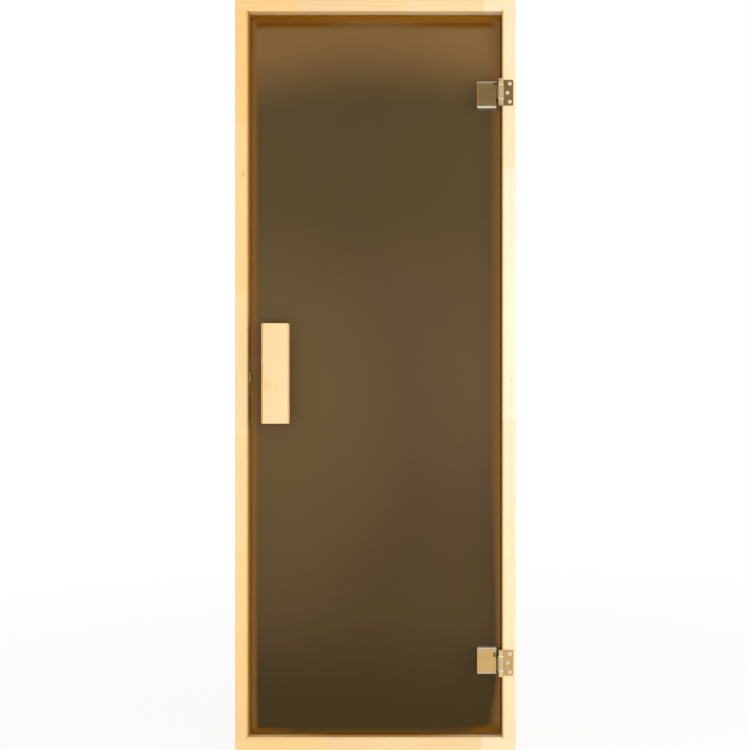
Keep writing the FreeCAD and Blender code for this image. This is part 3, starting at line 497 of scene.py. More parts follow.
def rebate_shade_shares(finish, axes, normal):
    """Three shares of painted shade from 0 to 1: amber edge round the opening, brown rebate, and
    rebate behind the glass edge.
    """
    inward = (FRAME_HALF - abs(axes[0])).least(axes[2]).least(HEAD_HIGH.z - axes[2])
    within = finish.smooth(inward, *OUTER_STEP)
    flat = finish.smooth(abs(normal[1]), *FLAT_STEP)
    depth = (axes[1] - FRAME_FRONT) / REBATE_DEPTH
    reveal = finish.between(depth, REVEAL_RISE, REVEAL_FALL) * (1 - flat)
    stop = finish.between(depth, STOP_RISE, STOP_FALL) * flat * STOP_SHARE
    inner = depth - finish.smooth(axes[2], *HEAD_STEP) * HEAD_DELAY
    behind = within * finish.smooth(inner, *BEHIND_RISE) * (1 - finish.smooth(depth, *BEHIND_FALL))
    edge = finish.smooth(inward, *EDGE_STEP) * (1 - finish.smooth(depth, *EDGE_FADE))
    return edge, within * (reveal + stop), behind


def dress(node, material):
    """Give a CAD piece its finish."""
    mesh_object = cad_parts[node]
    for slot in mesh_object.material_slots:
        slot.material = material
    if not mesh_object.material_slots:
        mesh_object.data.materials.append(material)


# Photograph's places in metres: the door fills 280 px of width at 2.5 mm each

PIXEL = 0.0025
PHOTO_MIDDLE = 375.0
PHOTO_FLOOR = 750.3


def photo_x(pixel):
    """Place across the door of a pixel column."""
    return (pixel - PHOTO_MIDDLE) * PIXEL


def photo_z(pixel):
    """Height over the floor of a pixel row."""
    return (PHOTO_FLOOR - pixel) * PIXEL


# Jointed boards of each member (start, shade, paleness) and its knots (along, across, radius)

LATCH_BOARDS = [
    (0, 1.0, 0.10), (photo_z(615), 0.985, 0.12), (photo_z(545), 0.985, 0.19),
    (photo_z(432), 0.99, 0.35), (photo_z(291), 0.99, 0.15), (photo_z(120), 0.98, 0.01)]
LATCH_KNOTS = [
    (photo_z(174), photo_x(243), 0.0022), (photo_z(379.6), photo_x(236), 0.0012)]
LATCH_HEART = (-0.47, 0.03)
HINGE_BOARDS = [
    (0, 0.985, 0.61), (photo_z(553), 0.96, 0.73), (photo_z(416), 0.975, 0.93),
    (photo_z(165), 0.965, 0.70), (photo_z(68), 0.98, 0.74)]
HINGE_KNOTS = [(photo_z(380), photo_x(511.4), 0.0012)]
HINGE_HEART = (0.46, 0.05)
HEAD_BOARDS = [
    (0, 0.98, 0.10), (photo_x(300), 0.94, 0.32), (photo_x(410), 0.955, 0.40),
    (photo_x(487), 0.99, 0.68)]
HEAD_HEART = (HEAD_HIGH.z + 0.05, 0.04)
# Painted shade of the head's rebate behind the glass edge.
HEAD_GLASS_EDGE_SHADE = (0.80, 0.56, 0.10)
SILL_BOARDS = [
    (0, 1.0, 0.20), (photo_x(330), 0.965, 0.34), (photo_x(420), 0.955, 0.31),
    (photo_x(485), 0.98, 0.64)]
SILL_HEART = (-0.07, 0.03)
# Painted shade of the sill's rebate behind the glass edge.
SILL_GLASS_EDGE_SHADE = (0.50, 0.40, 0.12)


class SAUNA_OT_frame(bpy.types.Operator):
    """Finish head, sill and stiles as pale finger-jointed wood"""
    bl_idname = "sauna.dress_frame"
    bl_label = "Dress the frame"

    def execute(self, context):
        low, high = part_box("latch_stile")
        ends = (low.z, high.z)
        sill_shade_tone = tuple(context.scene.sauna_wood.sill_shade_tone)
        # edge and rebate set how strong the painted shade is on each member.
        dress("latch_stile", wood_finish(
            "latch_stile_wood", 2, 0, LATCH_BOARDS, LATCH_HEART, knots=LATCH_KNOTS, seam=ends,
            edge=0.70, rebate=1.0))
        dress("hinge_stile", wood_finish(
            "hinge_stile_wood", 2, 0, HINGE_BOARDS, HINGE_HEART, knots=HINGE_KNOTS, seam=ends,
            edge=0.95, rebate=1.0))
        dress("frame_head", wood_finish(
            "frame_head_wood", 0, 2, HEAD_BOARDS, HEAD_HEART,
            edge=0.06, rebate=0.06, glass_edge_shade=HEAD_GLASS_EDGE_SHADE))
        dress("frame_sill", wood_finish(
            "frame_sill_wood", 0, 2, SILL_BOARDS, SILL_HEART,
            edge=0.22, rebate=0.85, brown=sill_shade_tone, glass_edge_shade=SILL_GLASS_EDGE_SHADE))
        return {"FINISHED"}


# Seals and glass: steps along the glass edge are in band widths

RUBBER_DARK = (0.25, 0.120, 0.016)
RUBBER_PALE = (0.33, 0.165, 0.028)
SEALS = ("head_seal", "sill_seal", "hinge_side_seal", "latch_side_seal")


class SAUNA_OT_seals(bpy.types.Operator):
    """Finish the bulb seals as soft brown rubber"""
    bl_idname = "sauna.dress_seals"
    bl_label = "Dress the seals"

    def execute(self, context):
        finish = Finish("seal_rubber")
        where = finish.place()[1]
        dust = finish.noise(where, 60.0, 3.0)
        tone = finish.mix(dust, RUBBER_DARK, RUBBER_PALE)
        grain = finish.noise(where, 900.0, 2.0)
        material = finish.surface(Base_Color=tone, Roughness=0.62 + dust * 0.2,
                                  Normal=finish.bump(grain, 0.2, 0.0002))
        for node in SEALS:
            dress(node, material)
        return {"FINISHED"}


# Painted light round the handle, painted light at the sides, and an arch of painted reflection at
# the top.
GLOW_X = -0.30
GLOW_Z = 0.78
GLOW_WIDE = 0.42
GLOW_HIGH = 0.62
GLOW_SHARE = 0.32
ARCH_RISE = 0.045
ARCH_DRIFT = 0.03
SIDE_LIGHT_STEP = (-0.45, -0.05)
BAND_SWAY = 0.0020
# Painted shadow line along the stop's edge, and painted amber of the lit stop through the glass.
STOP_SHADOW_RISE = (1.3, 2.1)
STOP_SHADOW_FALL = (2.1, 3.2)
STOP_SHADOW_TONE = (0.085, 0.038, 0.003)
AMBER_RISE = (0.8, 1.3)
AMBER_FALL = (2.4, 4.2)
AMBER_TINT = (0.86, 0.66, 0.16)
SIDE_START = 0.35
SIDE_REACH = 1.7
BAND_STEP = (0.7, 2.0)
GLASS_SPECULAR = 0.10
GLASS_IOR = 1.5


class SAUNA_OT_glass(bpy.types.Operator):
    """Finish the leaf as satin bronze glass with a painted view of the stop along its edge"""
    bl_idname = "sauna.dress_glass"
    bl_label = "Dress the glass"

    def execute(self, context):
        looks = context.scene.sauna_glass
        finish = Finish("satin_bronze_glass")
        axes, where = finish.place()
        drift = finish.noise(where, 1.6, 2.0) - 0.5
        cloud = finish.noise(where, 7.0, 3.0, 0.6) - 0.5
        across = (axes[0] - DOOR_MIDDLE_X) / GLASS_HALF_WIDE
        up = (axes[2] - DOOR_MIDDLE_Z) / GLASS_HALF_HIGH
        # Painted reflection, shade and light, then the painted view of the stop along the edge.
        tone = self.bronze(finish, looks, axes, across, up, drift, cloud)
        tone = self.stop_bands(finish, looks, across, up, cloud, tone)

        etch = finish.noise(where, 2600.0, 2.0, 0.7)
        rough = looks.roughness + (etch - 0.5) * 0.10 + cloud * 0.04
        dress("door_glass", finish.surface(
            Base_Color=tone, Roughness=rough, Specular_IOR_Level=GLASS_SPECULAR, IOR=GLASS_IOR,
            Normal=finish.bump(etch, 0.10, 0.00005)))
        return {"FINISHED"}

    @staticmethod
    def bronze(finish, looks, axes, across, up, drift, cloud):
        """Bronze with painted reflection and shade, lighter at the top and darker towards the
        bottom, and painted light at the sides and round the handle.
        """
        arch = up + across * across * ARCH_RISE + drift * ARCH_DRIFT
        tone = finish.ramp(arch * 0.5 + 0.5, [
            (0.03, looks.bottom), (0.20, looks.lower), (0.52, looks.middle),
            (0.78, looks.upper), (0.875, looks.upper), (0.985, looks.top)], "EASE")
        sides = across * across * finish.smooth(up, *SIDE_LIGHT_STEP)
        tone = finish.shaded(tone, 1 + drift * 0.12 + cloud * 0.10 + sides * 0.11)
        reach = ((axes[0] - GLOW_X) / GLOW_WIDE) ** 2 + ((axes[2] - GLOW_Z) / GLOW_HIGH) ** 2
        return finish.mix((1 - finish.smooth(reach, 0, 1)) * GLOW_SHARE, tone, looks.glow)

    @staticmethod
    def stop_bands(finish, looks, across, up, cloud, tone):
        """Painted view of the lit stop through the glass edge, in amber, with a painted shadow line
        along the stop's edge and deeper painted shade in the corners. Distances are in band widths.
        """
        below = finish.smooth(0 - up, 0, 0.1)
        above = 1 - below
        right = finish.smooth(across, -0.3, 0.3)
        corner = finish.smooth(abs(across), 0.6, 0.95)
        width, sway = looks.band_width, cloud * BAND_SWAY
        from_side = (GLASS_HALF_WIDE - abs(across) * GLASS_HALF_WIDE + sway) / width
        from_end = GLASS_HALF_HIGH - abs(up) * GLASS_HALF_HIGH
        from_end = from_end * (1 + below * (0.25 - corner * (0.05 + right * 0.45))) + sway
        from_end = from_end / width

        # Painted shadow line along the stop's edge, then the painted amber of the lit stop.
        line = finish.between(from_end, STOP_SHADOW_RISE, STOP_SHADOW_FALL) * above
        tone = finish.mix(line * (0.30 + across * across * 0.30), tone, STOP_SHADOW_TONE)
        amber = finish.between(from_end, AMBER_RISE, AMBER_FALL) * above
        amber = amber * (0.25 + finish.smooth(abs(across), 0.05, 0.55) * 0.75)
        tone = finish.tinted(amber, tone, AMBER_TINT)

        # Painted view of the stop at the sides.
        upper = finish.smooth(up, -0.75, -0.25) * (finish.smooth(across, -0.5, 0.5) * 1.2 + 0.15)
        lower = finish.smooth(0 - up, 0.85, 0.98) * (0.3 + right * 1.9)
        side_reach = upper + SIDE_REACH + lower
        side_share = 1 - finish.smooth(from_side, SIDE_START, side_reach)
        tone = finish.mix(side_share, tone, looks.side_band)

        # Painted view of the stop at the ends, with deeper painted shade in the corners.
        end_share = 1 - finish.smooth(from_end, *BAND_STEP)
        end_share = end_share * (1 - below * (1 - corner) * 0.72)
        corner_shade = finish.smooth(abs(across), 0.1, 0.8) * (1 - above * right * 0.95)
        end_tone = finish.mix(corner_shade, looks.end_band, looks.corner_shade_band)
        return finish.mix(end_share, tone, end_tone)


# Metal: scales of the fine lines are along X, Y and Z

BRUSHED = (2600, 2600, 120)
TUMBLED = (700, 700, 700)
BARREL_BLUR = 0.0003
BARREL_DULL = 0.16
# Cover ends get painted highlight and shade, cover faces turned left painted shade; the arm under
# the cover a lighter tone, painted light seen in its slot.
COVER_SOFT = (0.001, 0.010)
COVER_END_STEP = (0.06, 0.40)
COVER_SIDE_STEP = (0.15, 0.60)
COVER_SIDE_SHADE_SHARE = 0.55
COVER_SIDE_SHADE_TONE = (0.20, 0.15, 0.06)
SLOT_LIGHT_TONE = (0.72, 0.52, 0.26)
HIDDEN_MARGIN = 0.002
SPOT_STEP = (0.66, 0.78)
PAD_DARK = (0.015, 0.013, 0.011)
PAD_PALE = (0.035, 0.030, 0.026)


def plated_steel(name, tone, roughness, brushed=True, metallic=0.9, barrel=None, ends=None,
                 inside=None):
    """Plated steel with a fine brushed or tumbled face and slight patches.

    barrel is (x, y, radius, tone) of a round within the piece, paler by polish and by painted
    highlight. ends is (low z, high z, tone, lower tone) of a cover: its faces turned up and down
    have those tones as painted highlight and shade, and its face is softer near them, with painted
    highlight there and painted shade on faces turned left. inside is (x, tone) of what a cover
    hides left of x, which is matt and lighter, painted light seen in the cover's slot.
    """
    finish = Finish(name)
    axes, where = finish.place()
    lines = finish.noise(finish.stretched(where, BRUSHED if brushed else TUMBLED), 1.0, 2.0)
    patch = finish.noise(where, 55.0, 3.0)
    spots = finish.noise(where, 420.0, 2.0, 0.7)
    rough = roughness + (lines - 0.5) * 0.14 + (patch - 0.5) * 0.10
    # Barrel: paler by polish and by painted highlight.
    if barrel:
        middle_x, middle_y, radius, polish_and_highlight = barrel
        reach = ((axes[0] - middle_x) ** 2 + (axes[1] - middle_y) ** 2).root()
        beyond = finish.smooth(reach, radius, radius + BARREL_BLUR)
        tone = finish.mix(beyond, polish_and_highlight, tone)
        rough = rough + (1 - beyond) * BARREL_DULL
    # Painted highlight near the ends and on faces turned up; faces turned down take the given tone,
    # painted highlight on the upper cover and painted shade on the lower; painted shade on faces
    # turned left.
    if ends:
        low, high, bright, under = ends
        normal = finish.facing()
        near = 1 - finish.smooth((axes[2] - low).least(high - axes[2]), *COVER_SOFT)
        rough = rough + near * 0.22
        tone = finish.mix(near * 0.35, tone, bright)
        tone = finish.mix(finish.smooth(normal[2], *COVER_END_STEP), tone, bright)
        tone = finish.mix(finish.smooth(0 - normal[2], *COVER_END_STEP), tone, under)
        side = finish.smooth(0 - normal[0], *COVER_SIDE_STEP)
        tone = finish.mix(side * COVER_SIDE_SHADE_SHARE, tone, COVER_SIDE_SHADE_TONE)
    # A lighter matt tone under the cover: painted light seen in its slot.
    if inside:
        limit, slot_light = inside
        hidden = 1 - finish.smooth(axes[0], limit, limit + 0.001)
        tone = finish.mix(hidden, tone, slot_light)
        rough = rough + hidden * 0.2
        metallic = metallic - hidden * 0.8
    shade = 0.94 + (patch - 0.5) * 0.22 + (lines - 0.5) * 0.10
    shade = shade - finish.smooth(spots, *SPOT_STEP) * 0.12
    return finish.surface(Base_Color=finish.shaded(tone, shade), Metallic=metallic, Roughness=rough,
                          Normal=finish.bump(lines, 0.12, 0.00008))


class SAUNA_OT_hinges(bpy.types.Operator):
    """Finish both hinges as plated steel, with polish and painted highlight on the barrels"""
    bl_idname = "sauna.dress_hinges"
    bl_label = "Dress the hinges"

    def execute(self, context):
        looks = context.scene.sauna_metal
        low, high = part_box("upper_hinge_pin")
        pin = (low + high) / 2
        low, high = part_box("upper_hinge_frame_leaf")
        barrel = (pin.x, pin.y, (high.y - low.y) / 2, tuple(looks.barrel_plate))
        bright = plated_steel("bright_plate", looks.bright_plate, 0.35, brushed=False, metallic=0.5)
        plate = plated_steel("hinge_plate", looks.hinge_plate, 0.22)
        jointed = plated_steel("barrel_plate", looks.hinge_plate, 0.22, barrel=barrel)
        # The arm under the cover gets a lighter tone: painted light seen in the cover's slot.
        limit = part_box("upper_hinge_cover")[1].x - HIDDEN_MARGIN
        arm = plated_steel(
            "arm_plate", looks.arm_plate, 0.45, barrel=barrel, inside=(limit, SLOT_LIGHT_TONE))
        pad = self.clamp_pad()
        finishes = {
            "frame_leaf": jointed, "arm": arm, "back_plate": plate, "pin": bright,
            "washers": bright, "clamp_bolts": bright, "front_pad": pad, "rear_pad": pad}
        # Faces turned down: painted highlight on the upper cover, painted shade on the lower.
        downward_end_tones = {"upper_hinge": looks.cover_end_highlight, "lower_hinge": looks.cover_end_shade}
        for hinge in HINGES:
            for piece, material in finishes.items():
                dress(f"{hinge}_{piece}", material)
            low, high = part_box(f"{hinge}_cover")
            ends = (low.z, high.z, tuple(looks.cover_end_highlight), tuple(downward_end_tones[hinge]))
            dress(f"{hinge}_cover", plated_steel(
                f"{hinge}_cover_plate", looks.cover_plate, 0.22, ends=ends))
        return {"FINISHED"}

    @staticmethod
    def clamp_pad():
        """Black rubber of the pads on both sides of the glass."""
        finish = Finish("clamp_pad")
        grit = finish.noise(finish.place()[1], 600.0, 2.0)
        return finish.surface(
            Base_Color=finish.mix(grit, PAD_DARK, PAD_PALE), Roughness=0.7 + grit * 0.1)


class SAUNA_OT_handles(bpy.types.Operator):
    """Finish the handle boards, blocks and plugs as pale wood"""
    bl_idname = "sauna.dress_handles"
    bl_label = "Dress the handles"

    def execute(self, context):
        bolt_tone = context.scene.sauna_metal.bright_plate
        dress("handle_bolts", plated_steel("handle_bolt_plate", bolt_tone, 0.3, brushed=False))
        low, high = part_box("outer_handle_plugs")
        radius = (high.x - low.x) / 2
        middle = (low.z + high.z) / 2
        plugs = (low.x + radius, middle, (high.z - low.z) / 2 - radius, radius)
        finishes = {
            "handle": wood_finish(
                "handle_wood", 2, 0, [(0, 0.945, 0.37)], (-0.33, -0.12), plugs=plugs,
                knots=[(photo_z(387.4), photo_x(277.9), 0.0009)]),
            "handle_block": wood_finish(
                "handle_block_wood", 2, 0, [(0, 0.92, 0.30)], (-0.31, -0.10)),
            "handle_plugs": wood_finish(
                "handle_plug_wood", 2, 0, [(0, 0.93, 0.17), (middle, 0.94, 0.39)],
                (-0.21, -0.02), plugs=plugs),
        }
        for side in SIDES:
            for piece, material in finishes.items():
                dress(f"{side}_{piece}", material)
        return {"FINISHED"}


class SAUNA_OT_catch(bpy.types.Operator):
    """Finish the roller catch as brass with a steel roller"""
    bl_idname = "sauna.dress_catch"
    bl_label = "Dress the roller catch"

    def execute(self, context):
        looks = context.scene.sauna_metal
        plate = plated_steel("catch_brass", looks.catch_plate, 0.45, metallic=0.3)
        roller = plated_steel("catch_roller_steel", looks.roller_plate, 0.35, brushed=False)
        for node in ("catch_face_plate", "catch_case", "catch_yoke"):
            dress(node, plate)
        for node in ("catch_roller", "catch_roller_pin"):
            dress(node, roller)
        return {"FINISHED"}


# Screws and bolt heads

DOME_RINGS = 6
DOME_SIDES = 40
CROSS_ARM = 0.54
CROSS_WIDTH = 0.17
CROSS_DEPTH = 0.75
CROSS_TAPER = 0.62
SEAT_DEPTH = 0.5
SEAT_WIDTH = 0.96
SOCKET_WIDTH = 0.42
SOCKET_DEPTH = 1.6
MERGE_GAP = 1e-7
ON_AXIS = 1e-9
SHARP_ANGLE = math.radians(35)


def mesh_from(name, build):
    """A mesh filled in by a function that gets an empty bmesh."""
    work = bmesh.new()
    build(work)
    bmesh.ops.remove_doubles(work, verts=work.verts, dist=MERGE_GAP)
    bmesh.ops.recalc_face_normals(work, faces=work.faces)
    mesh = bpy.data.meshes.new(name)
    work.to_mesh(mesh)
    work.free()
    return mesh


def add_object(name, mesh):
    """Put a mesh in the scene at the origin."""
    item = bpy.data.objects.new(name, mesh)
    bpy.context.scene.collection.objects.link(item)
    return item


def plain_mesh(item, name):
    """The evaluated object as a mesh with no modifiers."""
    graph = bpy.context.evaluated_depsgraph_get()
    mesh = bpy.data.meshes.new_from_object(item.evaluated_get(graph))
    mesh.name = name
    return mesh


def lathe(work, profile, sides):
    """Turn a profile of (radius, height) points about Z."""
    rings = []
    for radius, height in profile:
        if radius < ON_AXIS:
            rings.append([work.verts.new((0, 0, height))])
            continue
        rings.append([
            work.verts.new((radius * math.cos(math.tau * step / sides),
                            radius * math.sin(math.tau * step / sides), height))
            for step in range(sides)])
    for lower, upper in zip(rings, rings[1:]):
        for step in range(sides):
            after = (step + 1) % sides
            corners = [lower[step % len(lower)], lower[after % len(lower)],
                       upper[after % len(upper)], upper[step % len(upper)]]
            unique = list(dict.fromkeys(corners))
            if len(unique) > 2:
                work.faces.new(unique)


def domed_head(name, radius, dome, recess):
    """A domed head with a recess cut into it, its seat at Z 0 and its top towards +Z."""
    crown = (radius * radius + dome * dome) / (2 * dome)
    seat = -dome * SEAT_DEPTH
    profile = [(0, seat), (radius * SEAT_WIDTH, seat), (radius, 0)]
    for ring in range(1, DOME_RINGS + 1):
        reach = radius * (1 - ring / DOME_RINGS)
        profile.append((reach, math.sqrt(crown * crown - reach * reach) - (crown - dome)))
    head = add_object(name, mesh_from(name, lambda work: lathe(work, profile, DOME_SIDES)))
    cutter = add_object(name + "_cutter", mesh_from(name + "_cutter", recess))
    modifier = head.modifiers.new("Recess", "BOOLEAN")
    modifier.operation = "DIFFERENCE"
    modifier.object = cutter
    modifier.solver = "EXACT"
    mesh = plain_mesh(head, name + "_cut")
    for item in (head, cutter):
        bpy.data.objects.remove(item, do_unlink=True)
    return mesh


def cross_recess(radius, dome):
    """A cross of two slots that narrows towards its bottom."""
    arm, half = radius * CROSS_ARM, radius * CROSS_WIDTH

    def outline(work, size, height):
        corners = []
        for quarter in range(4):
            turn = Matrix.Rotation(quarter * math.pi / 2, 3, "Z")
            corners += [work.verts.new(turn @ Vector((x * size, y * size, height)))
                        for x, y in ((arm, -half), (arm, half), (half, half))]
        return corners

    def build(work):
        lower = outline(work, CROSS_TAPER, dome * (1 - CROSS_DEPTH))
        upper = outline(work, 1.0, dome * 1.5)
        work.faces.new(lower)
        work.faces.new(upper)
        for step, corner in enumerate(lower):
            work.faces.new((lower[step - 1], corner, upper[step], upper[step - 1]))
    return build


def hexagon_recess(radius, dome):
    """A six-sided socket."""
    def build(work):
        bmesh.ops.create_cone(
            work, cap_ends=True, segments=6, radius1=radius * SOCKET_WIDTH,
            radius2=radius * SOCKET_WIDTH, depth=dome * SOCKET_DEPTH,
            matrix=Matrix.Translation((0, 0, dome)))
    return build


def repeat_tree(name):
    """Geometry nodes that put one head on each point, turned and made one mesh."""
    tree = bpy.data.node_groups.new(name, "GeometryNodeTree")
    socket = tree.interface.new_socket
    socket(name="Points", in_out="INPUT", socket_type="NodeSocketGeometry")
    socket(name="Head", in_out="INPUT", socket_type="NodeSocketObject")
    socket(name="Turn", in_out="INPUT", socket_type="NodeSocketVector")
    socket(name="Spin", in_out="INPUT", socket_type="NodeSocketFloat")
    socket(name="Seed", in_out="INPUT", socket_type="NodeSocketInt")
    socket(name="Finish", in_out="INPUT", socket_type="NodeSocketMaterial")
    socket(name="Heads", in_out="OUTPUT", socket_type="NodeSocketGeometry")
    nodes, links = tree.nodes, tree.links
    start = nodes.new("NodeGroupInput")
    end = nodes.new("NodeGroupOutput")
    info = nodes.new("GeometryNodeObjectInfo")
    spread = nodes.new("FunctionNodeRandomValue")
    spread.data_type = "FLOAT"
    spin = nodes.new("ShaderNodeCombineXYZ")
    spot = nodes.new("GeometryNodeInstanceOnPoints")
    own_turn = nodes.new("GeometryNodeRotateInstances")
    real = nodes.new("GeometryNodeRealizeInstances")
    coat = nodes.new("GeometryNodeSetMaterial")
    links.new(start.outputs["Head"], info.inputs["Object"])
    links.new(start.outputs["Points"], spot.inputs["Points"])
    links.new(info.outputs["Geometry"], spot.inputs["Instance"])
    links.new(start.outputs["Turn"], spot.inputs["Rotation"])
    links.new(start.outputs["Spin"], spread.inputs[3])
    links.new(start.outputs["Seed"], spread.inputs["Seed"])
    links.new(spread.outputs[1], spin.inputs["Z"])
    links.new(spot.outputs[0], own_turn.inputs["Instances"])
    links.new(spin.outputs[0], own_turn.inputs["Rotation"])
    links.new(own_turn.outputs[0], real.inputs[0])
    links.new(real.outputs[0], coat.inputs["Geometry"])
    links.new(start.outputs["Finish"], coat.inputs["Material"])
    links.new(coat.outputs[0], end.inputs[0])
    return tree


def repeat_heads(name, places, head_mesh, turn, seed, material, body):
    """One piece with a head at each place, riding on a body."""
    tree = bpy.data.node_groups.get("head_on_each_point") or repeat_tree("head_on_each_point")
    points = bpy.data.meshes.new(name + "_points")
    points.from_pydata([tuple(place) for place in places], [], [])
    carrier = add_object(name + "_carrier", points)
    if not head_mesh.materials:
        head_mesh.materials.append(material)
    source = add_object(name + "_source", head_mesh)
    modifier = carrier.modifiers.new("Heads", "NODES")
    modifier.node_group = tree
    values = {"Head": source, "Turn": turn, "Spin": math.tau, "Seed": seed, "Finish": material}
    for item in tree.interface.items_tree:
        if item.item_type == "SOCKET" and item.in_out == "INPUT" and item.name in values:
            modifier[item.identifier] = values[item.name]
    carrier.update_tag()
    piece = add_object(name, plain_mesh(carrier, name))
    for item in (carrier, source):
        bpy.data.objects.remove(item, do_unlink=True)
    for face in piece.data.polygons:
        face.use_smooth = True
    piece.data.set_sharp_from_angle(angle=SHARP_ANGLE)
    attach(piece, body)
    return piece


LEAF_REACH = 0.0305
LEAF_THICKNESS = 0.0025
SCREW_FAR = 0.022
SCREW_NEAR = 0.016
SCREW_PITCH = 0.0225
CATCH_SCREW_PITCH = 0.041
CATCH_SCREW_WIDTH = 0.85
CATCH_SCREW_RISE = 0.45
BOLT_DOME = 0.003
FACE_FRONT = (math.pi / 2, 0, 0)
FACE_RIGHT = (0, math.pi / 2, 0)
FACE_BACK = (-math.pi / 2, 0, 0)


class SAUNA_OT_screws(bpy.types.Operator):
    """Fit the screws of hinges and catch plate, and the heads of the clamp bolts"""
    bl_idname = "sauna.fit_screws"
    bl_label = "Fit screws and bolt heads"

    def execute(self, context):
        looks = context.scene.sauna_metal
        bright = plated_steel(
            "screw_plate", looks.screw_plate, 0.36, brushed=False, metallic=0.75)
        self.leaf_screws(looks, bright)
        self.catch_screws(looks)
        self.bolt_heads(looks, bright)
        return {"FINISHED"}

    @staticmethod
    def leaf_screws(looks, bright):
        """Three domed screws in each hinge's frame leaf."""
        radius, dome = looks.screw_head / 2, looks.screw_dome
        screw = domed_head("screw_head", radius, dome, cross_recess(radius, dome))
        front = FRAME_FRONT - LEAF_THICKNESS
        places = []
        for hinge in HINGES:
            low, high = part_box(f"{hinge}_frame_leaf")
            pin_x, middle = high.x - LEAF_REACH, (low.z + high.z) / 2
            places += [
                (pin_x + SCREW_FAR, front, middle + SCREW_PITCH),
                (pin_x + SCREW_NEAR, front, middle),
                (pin_x + SCREW_FAR, front, middle - SCREW_PITCH),
            ]
        repeat_heads("leaf_screws", places, screw, FACE_FRONT, 4, bright, "frame")

    @staticmethod
    def catch_screws(looks):
        """Two lower screws in the catch's face plate."""
        radius = looks.screw_head / 2 * CATCH_SCREW_WIDTH
        dome = looks.screw_dome * CATCH_SCREW_RISE
        screw = domed_head("catch_screw_head", radius, dome, cross_recess(radius, dome))
        low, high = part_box("catch_face_plate")
        middle = (low + high) / 2
        places = [
            (high.x, middle.y, middle.z + side * CATCH_SCREW_PITCH) for side in (-1, 1)]
        brass = plated_steel(
            "catch_screw_brass", looks.catch_plate, 0.45, brushed=False, metallic=0.6)
        repeat_heads("catch_screws", places, screw, FACE_RIGHT, 7, brass, "frame")

    @staticmethod
    def bolt_heads(looks, bright):
        """Two socket heads on each hinge's back plate, in place of the plain bolts."""
        radius = looks.bolt_head / 2
        bolt = domed_head("bolt_head", radius, BOLT_DOME, hexagon_recess(radius, BOLT_DOME))
        for hinge in HINGES:
            low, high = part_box(f"{hinge}_clamp_bolts")
            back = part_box(f"{hinge}_back_plate")[1].y
            x = (low.x + high.x) / 2
            places = [(x, back, low.z + radius), (x, back, high.z - radius)]
            piece = repeat_heads(
                f"{hinge}_bolt_heads", places, bolt, FACE_BACK, 2, bright, "door")
            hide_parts(f"{hinge}_clamp_bolts")


# Stage

SHADE_TOWARDS = (0.0, -0.94, 0.34)
SHADE_START = 0.86
SHADE_FULL = 0.95
FLOOR_SIZE = 60.0
FLOOR_DARK = (0.80, 0.80, 0.80)
FLOOR_PALE = (0.83, 0.83, 0.83)
FLOOR_FAR = (0.8, 3.5)
FLOOR_SEEN = 0.88
FLOOR_GLOW = 0.85
SENSOR = 36.0
LAMPS = (
    ("main_light", (0.6, -3.3, 1.6), 1.0, 15),
    ("low_light", (0.5, -2.8, 0.35), 0.6, 19),
    ("side_light", (4.1, -1.6, 1.2), 2.0, 68),
)


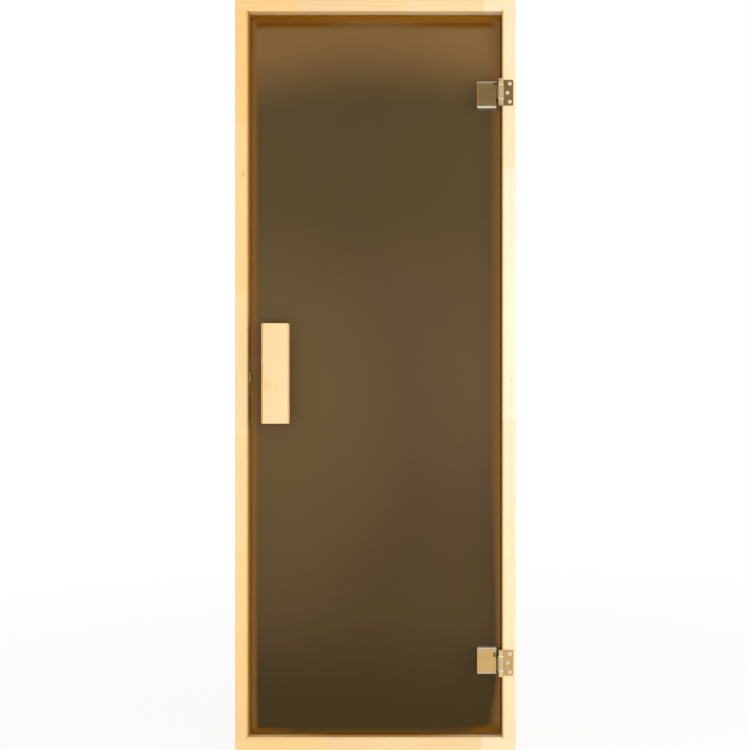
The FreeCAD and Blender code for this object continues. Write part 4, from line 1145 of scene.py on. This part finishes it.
class SAUNA_OT_stage(bpy.types.Operator):
    """Set the floor, the soft light and the camera"""
    bl_idname = "sauna.set_stage"
    bl_label = "Set the stage"

    def execute(self, context):
        looks = context.scene.sauna_stage
        floor = add_object("floor", mesh_from("floor", lambda work: bmesh.ops.create_grid(
            work, x_segments=1, y_segments=1, size=FLOOR_SIZE / 2)))
        floor.data.materials.append(self.floor_material())
        self.light_world(looks.round_light, looks.front_light)
        for lamp in LAMPS:
            self.add_lamp(*lamp)
        camera = bpy.data.cameras.new("camera")
        camera.sensor_width = SENSOR
        camera.lens = SENSOR * looks.distance / looks.picture_width
        camera.shift_x = -looks.camera_right / looks.picture_width
        camera.shift_y = (looks.picture_height - looks.camera_height) / looks.picture_width
        holder = bpy.data.objects.new("camera", camera)
        holder.location = (looks.camera_right, FRAME_FRONT - looks.distance, looks.camera_height)
        holder.rotation_euler = (math.pi / 2, 0, 0)
        context.scene.collection.objects.link(holder)
        context.scene.camera = holder
        context.scene.view_settings.view_transform = "Standard"
        return {"FINISHED"}

    @staticmethod
    def floor_material():
        """Pale floor that the camera sees as white, with the door's shadow kept."""
        finish = Finish("pale_floor")
        axes, where = finish.place()
        pale = finish.mix(finish.noise(where, 3.0, 2.0), FLOOR_DARK, FLOOR_PALE)
        matt = finish.node("ShaderNodeBsdfDiffuse", sockets={"Color": pale})
        white = finish.node("ShaderNodeEmission", sockets={"Color": (1, 1, 1), "Strength": 1.0})
        far = finish.smooth((axes[0] * axes[0] + axes[1] * axes[1]).root(), *FLOOR_FAR)
        path = finish.node("ShaderNodeLightPath")
        seen = Wire(finish, path.outputs["Is Camera Ray"]) * (FLOOR_SEEN + far * (1 - FLOOR_SEEN))
        seen = seen + Wire(finish, path.outputs["Is Glossy Ray"]) * FLOOR_GLOW
        both = finish.node("ShaderNodeMixShader", sockets={
            0: seen, 1: matt.outputs[0], 2: white.outputs[0]})
        finish.node("ShaderNodeOutputMaterial", sockets={"Surface": both.outputs[0]})
        return finish.material

    @staticmethod
    def light_world(round_light, front_light):
        """Pale light from all round, weaker above the camera, seen as plain white."""
        world = bpy.data.worlds.new("studio")
        bpy.context.scene.world = world
        world.use_nodes = True
        nodes, links = world.node_tree.nodes, world.node_tree.links
        nodes.clear()
        towards = nodes.new("ShaderNodeTexCoord")
        likeness = nodes.new("ShaderNodeVectorMath")
        likeness.operation = "DOT_PRODUCT"
        likeness.inputs[1].default_value = SHADE_TOWARDS
        fall = nodes.new("ShaderNodeMapRange")
        fall.interpolation_type = "SMOOTHSTEP"
        fall.inputs["From Min"].default_value = SHADE_START
        fall.inputs["From Max"].default_value = SHADE_FULL
        fall.inputs["To Min"].default_value = round_light
        fall.inputs["To Max"].default_value = front_light
        path = nodes.new("ShaderNodeLightPath")
        level = nodes.new("ShaderNodeMapRange")
        level.inputs["To Max"].default_value = 1.0
        glow = nodes.new("ShaderNodeBackground")
        glow.inputs["Color"].default_value = (1, 1, 1, 1)
        end = nodes.new("ShaderNodeOutputWorld")
        links.new(towards.outputs["Generated"], likeness.inputs[0])
        links.new(likeness.outputs["Value"], fall.inputs["Value"])
        links.new(fall.outputs[0], level.inputs["To Min"])
        links.new(path.outputs["Is Camera Ray"], level.inputs["Value"])
        links.new(level.outputs[0], glow.inputs["Strength"])
        links.new(glow.outputs[0], end.inputs["Surface"])

    @staticmethod
    def add_lamp(name, place, size, power):
        """A large soft lamp aimed at the door's middle."""
        lamp = bpy.data.lights.new(name, "AREA")
        lamp.shape = "SQUARE"
        lamp.size = size
        lamp.energy = power
        holder = bpy.data.objects.new(name, lamp)
        holder.location = place
        holder.visible_glossy = False
        aim = Vector((DOOR_MIDDLE_X, FRAME_FRONT, DOOR_MIDDLE_Z)) - holder.location
        holder.rotation_euler = aim.to_track_quat("-Z", "Y").to_euler()
        bpy.context.scene.collection.objects.link(holder)


OPERATORS = (SAUNA_OT_frame, SAUNA_OT_seals, SAUNA_OT_glass, SAUNA_OT_hinges, SAUNA_OT_handles,
             SAUNA_OT_catch, SAUNA_OT_screws, SAUNA_OT_stage)


class SAUNA_PT_panel(bpy.types.Panel):
    """Lists the steps of the door's looks"""
    bl_idname = "SAUNA_PT_panel"
    bl_label = "Sauna door"
    bl_space_type = "VIEW_3D"
    bl_region_type = "UI"
    bl_category = "Sauna door"

    def draw(self, context):
        for operator in OPERATORS:
            self.layout.operator(operator.bl_idname)


GROUPS = {
    "sauna_wood": WoodLooks,
    "sauna_glass": GlassLooks,
    "sauna_metal": MetalLooks,
    "sauna_stage": StageLooks,
}


def register():
    """Register the properties, the operators and the panel."""
    for name, group in GROUPS.items():
        bpy.utils.register_class(group)
        setattr(bpy.types.Scene, name, bpy.props.PointerProperty(type=group))
    for item in (*OPERATORS, SAUNA_PT_panel):
        bpy.utils.register_class(item)


def unregister():
    """Take everything out again."""
    for item in (SAUNA_PT_panel, *reversed(OPERATORS)):
        bpy.utils.unregister_class(item)
    for name, group in GROUPS.items():
        delattr(bpy.types.Scene, name)
        bpy.utils.unregister_class(group)


def main():
    """Dress the door and set the stage."""
    register()
    bpy.ops.sauna.dress_frame()
    bpy.ops.sauna.dress_seals()
    bpy.ops.sauna.dress_glass()
    bpy.ops.sauna.dress_hinges()
    bpy.ops.sauna.dress_handles()
    bpy.ops.sauna.dress_catch()
    bpy.ops.sauna.fit_screws()
    bpy.ops.sauna.set_stage()


if __name__ == "__main__":
    main()
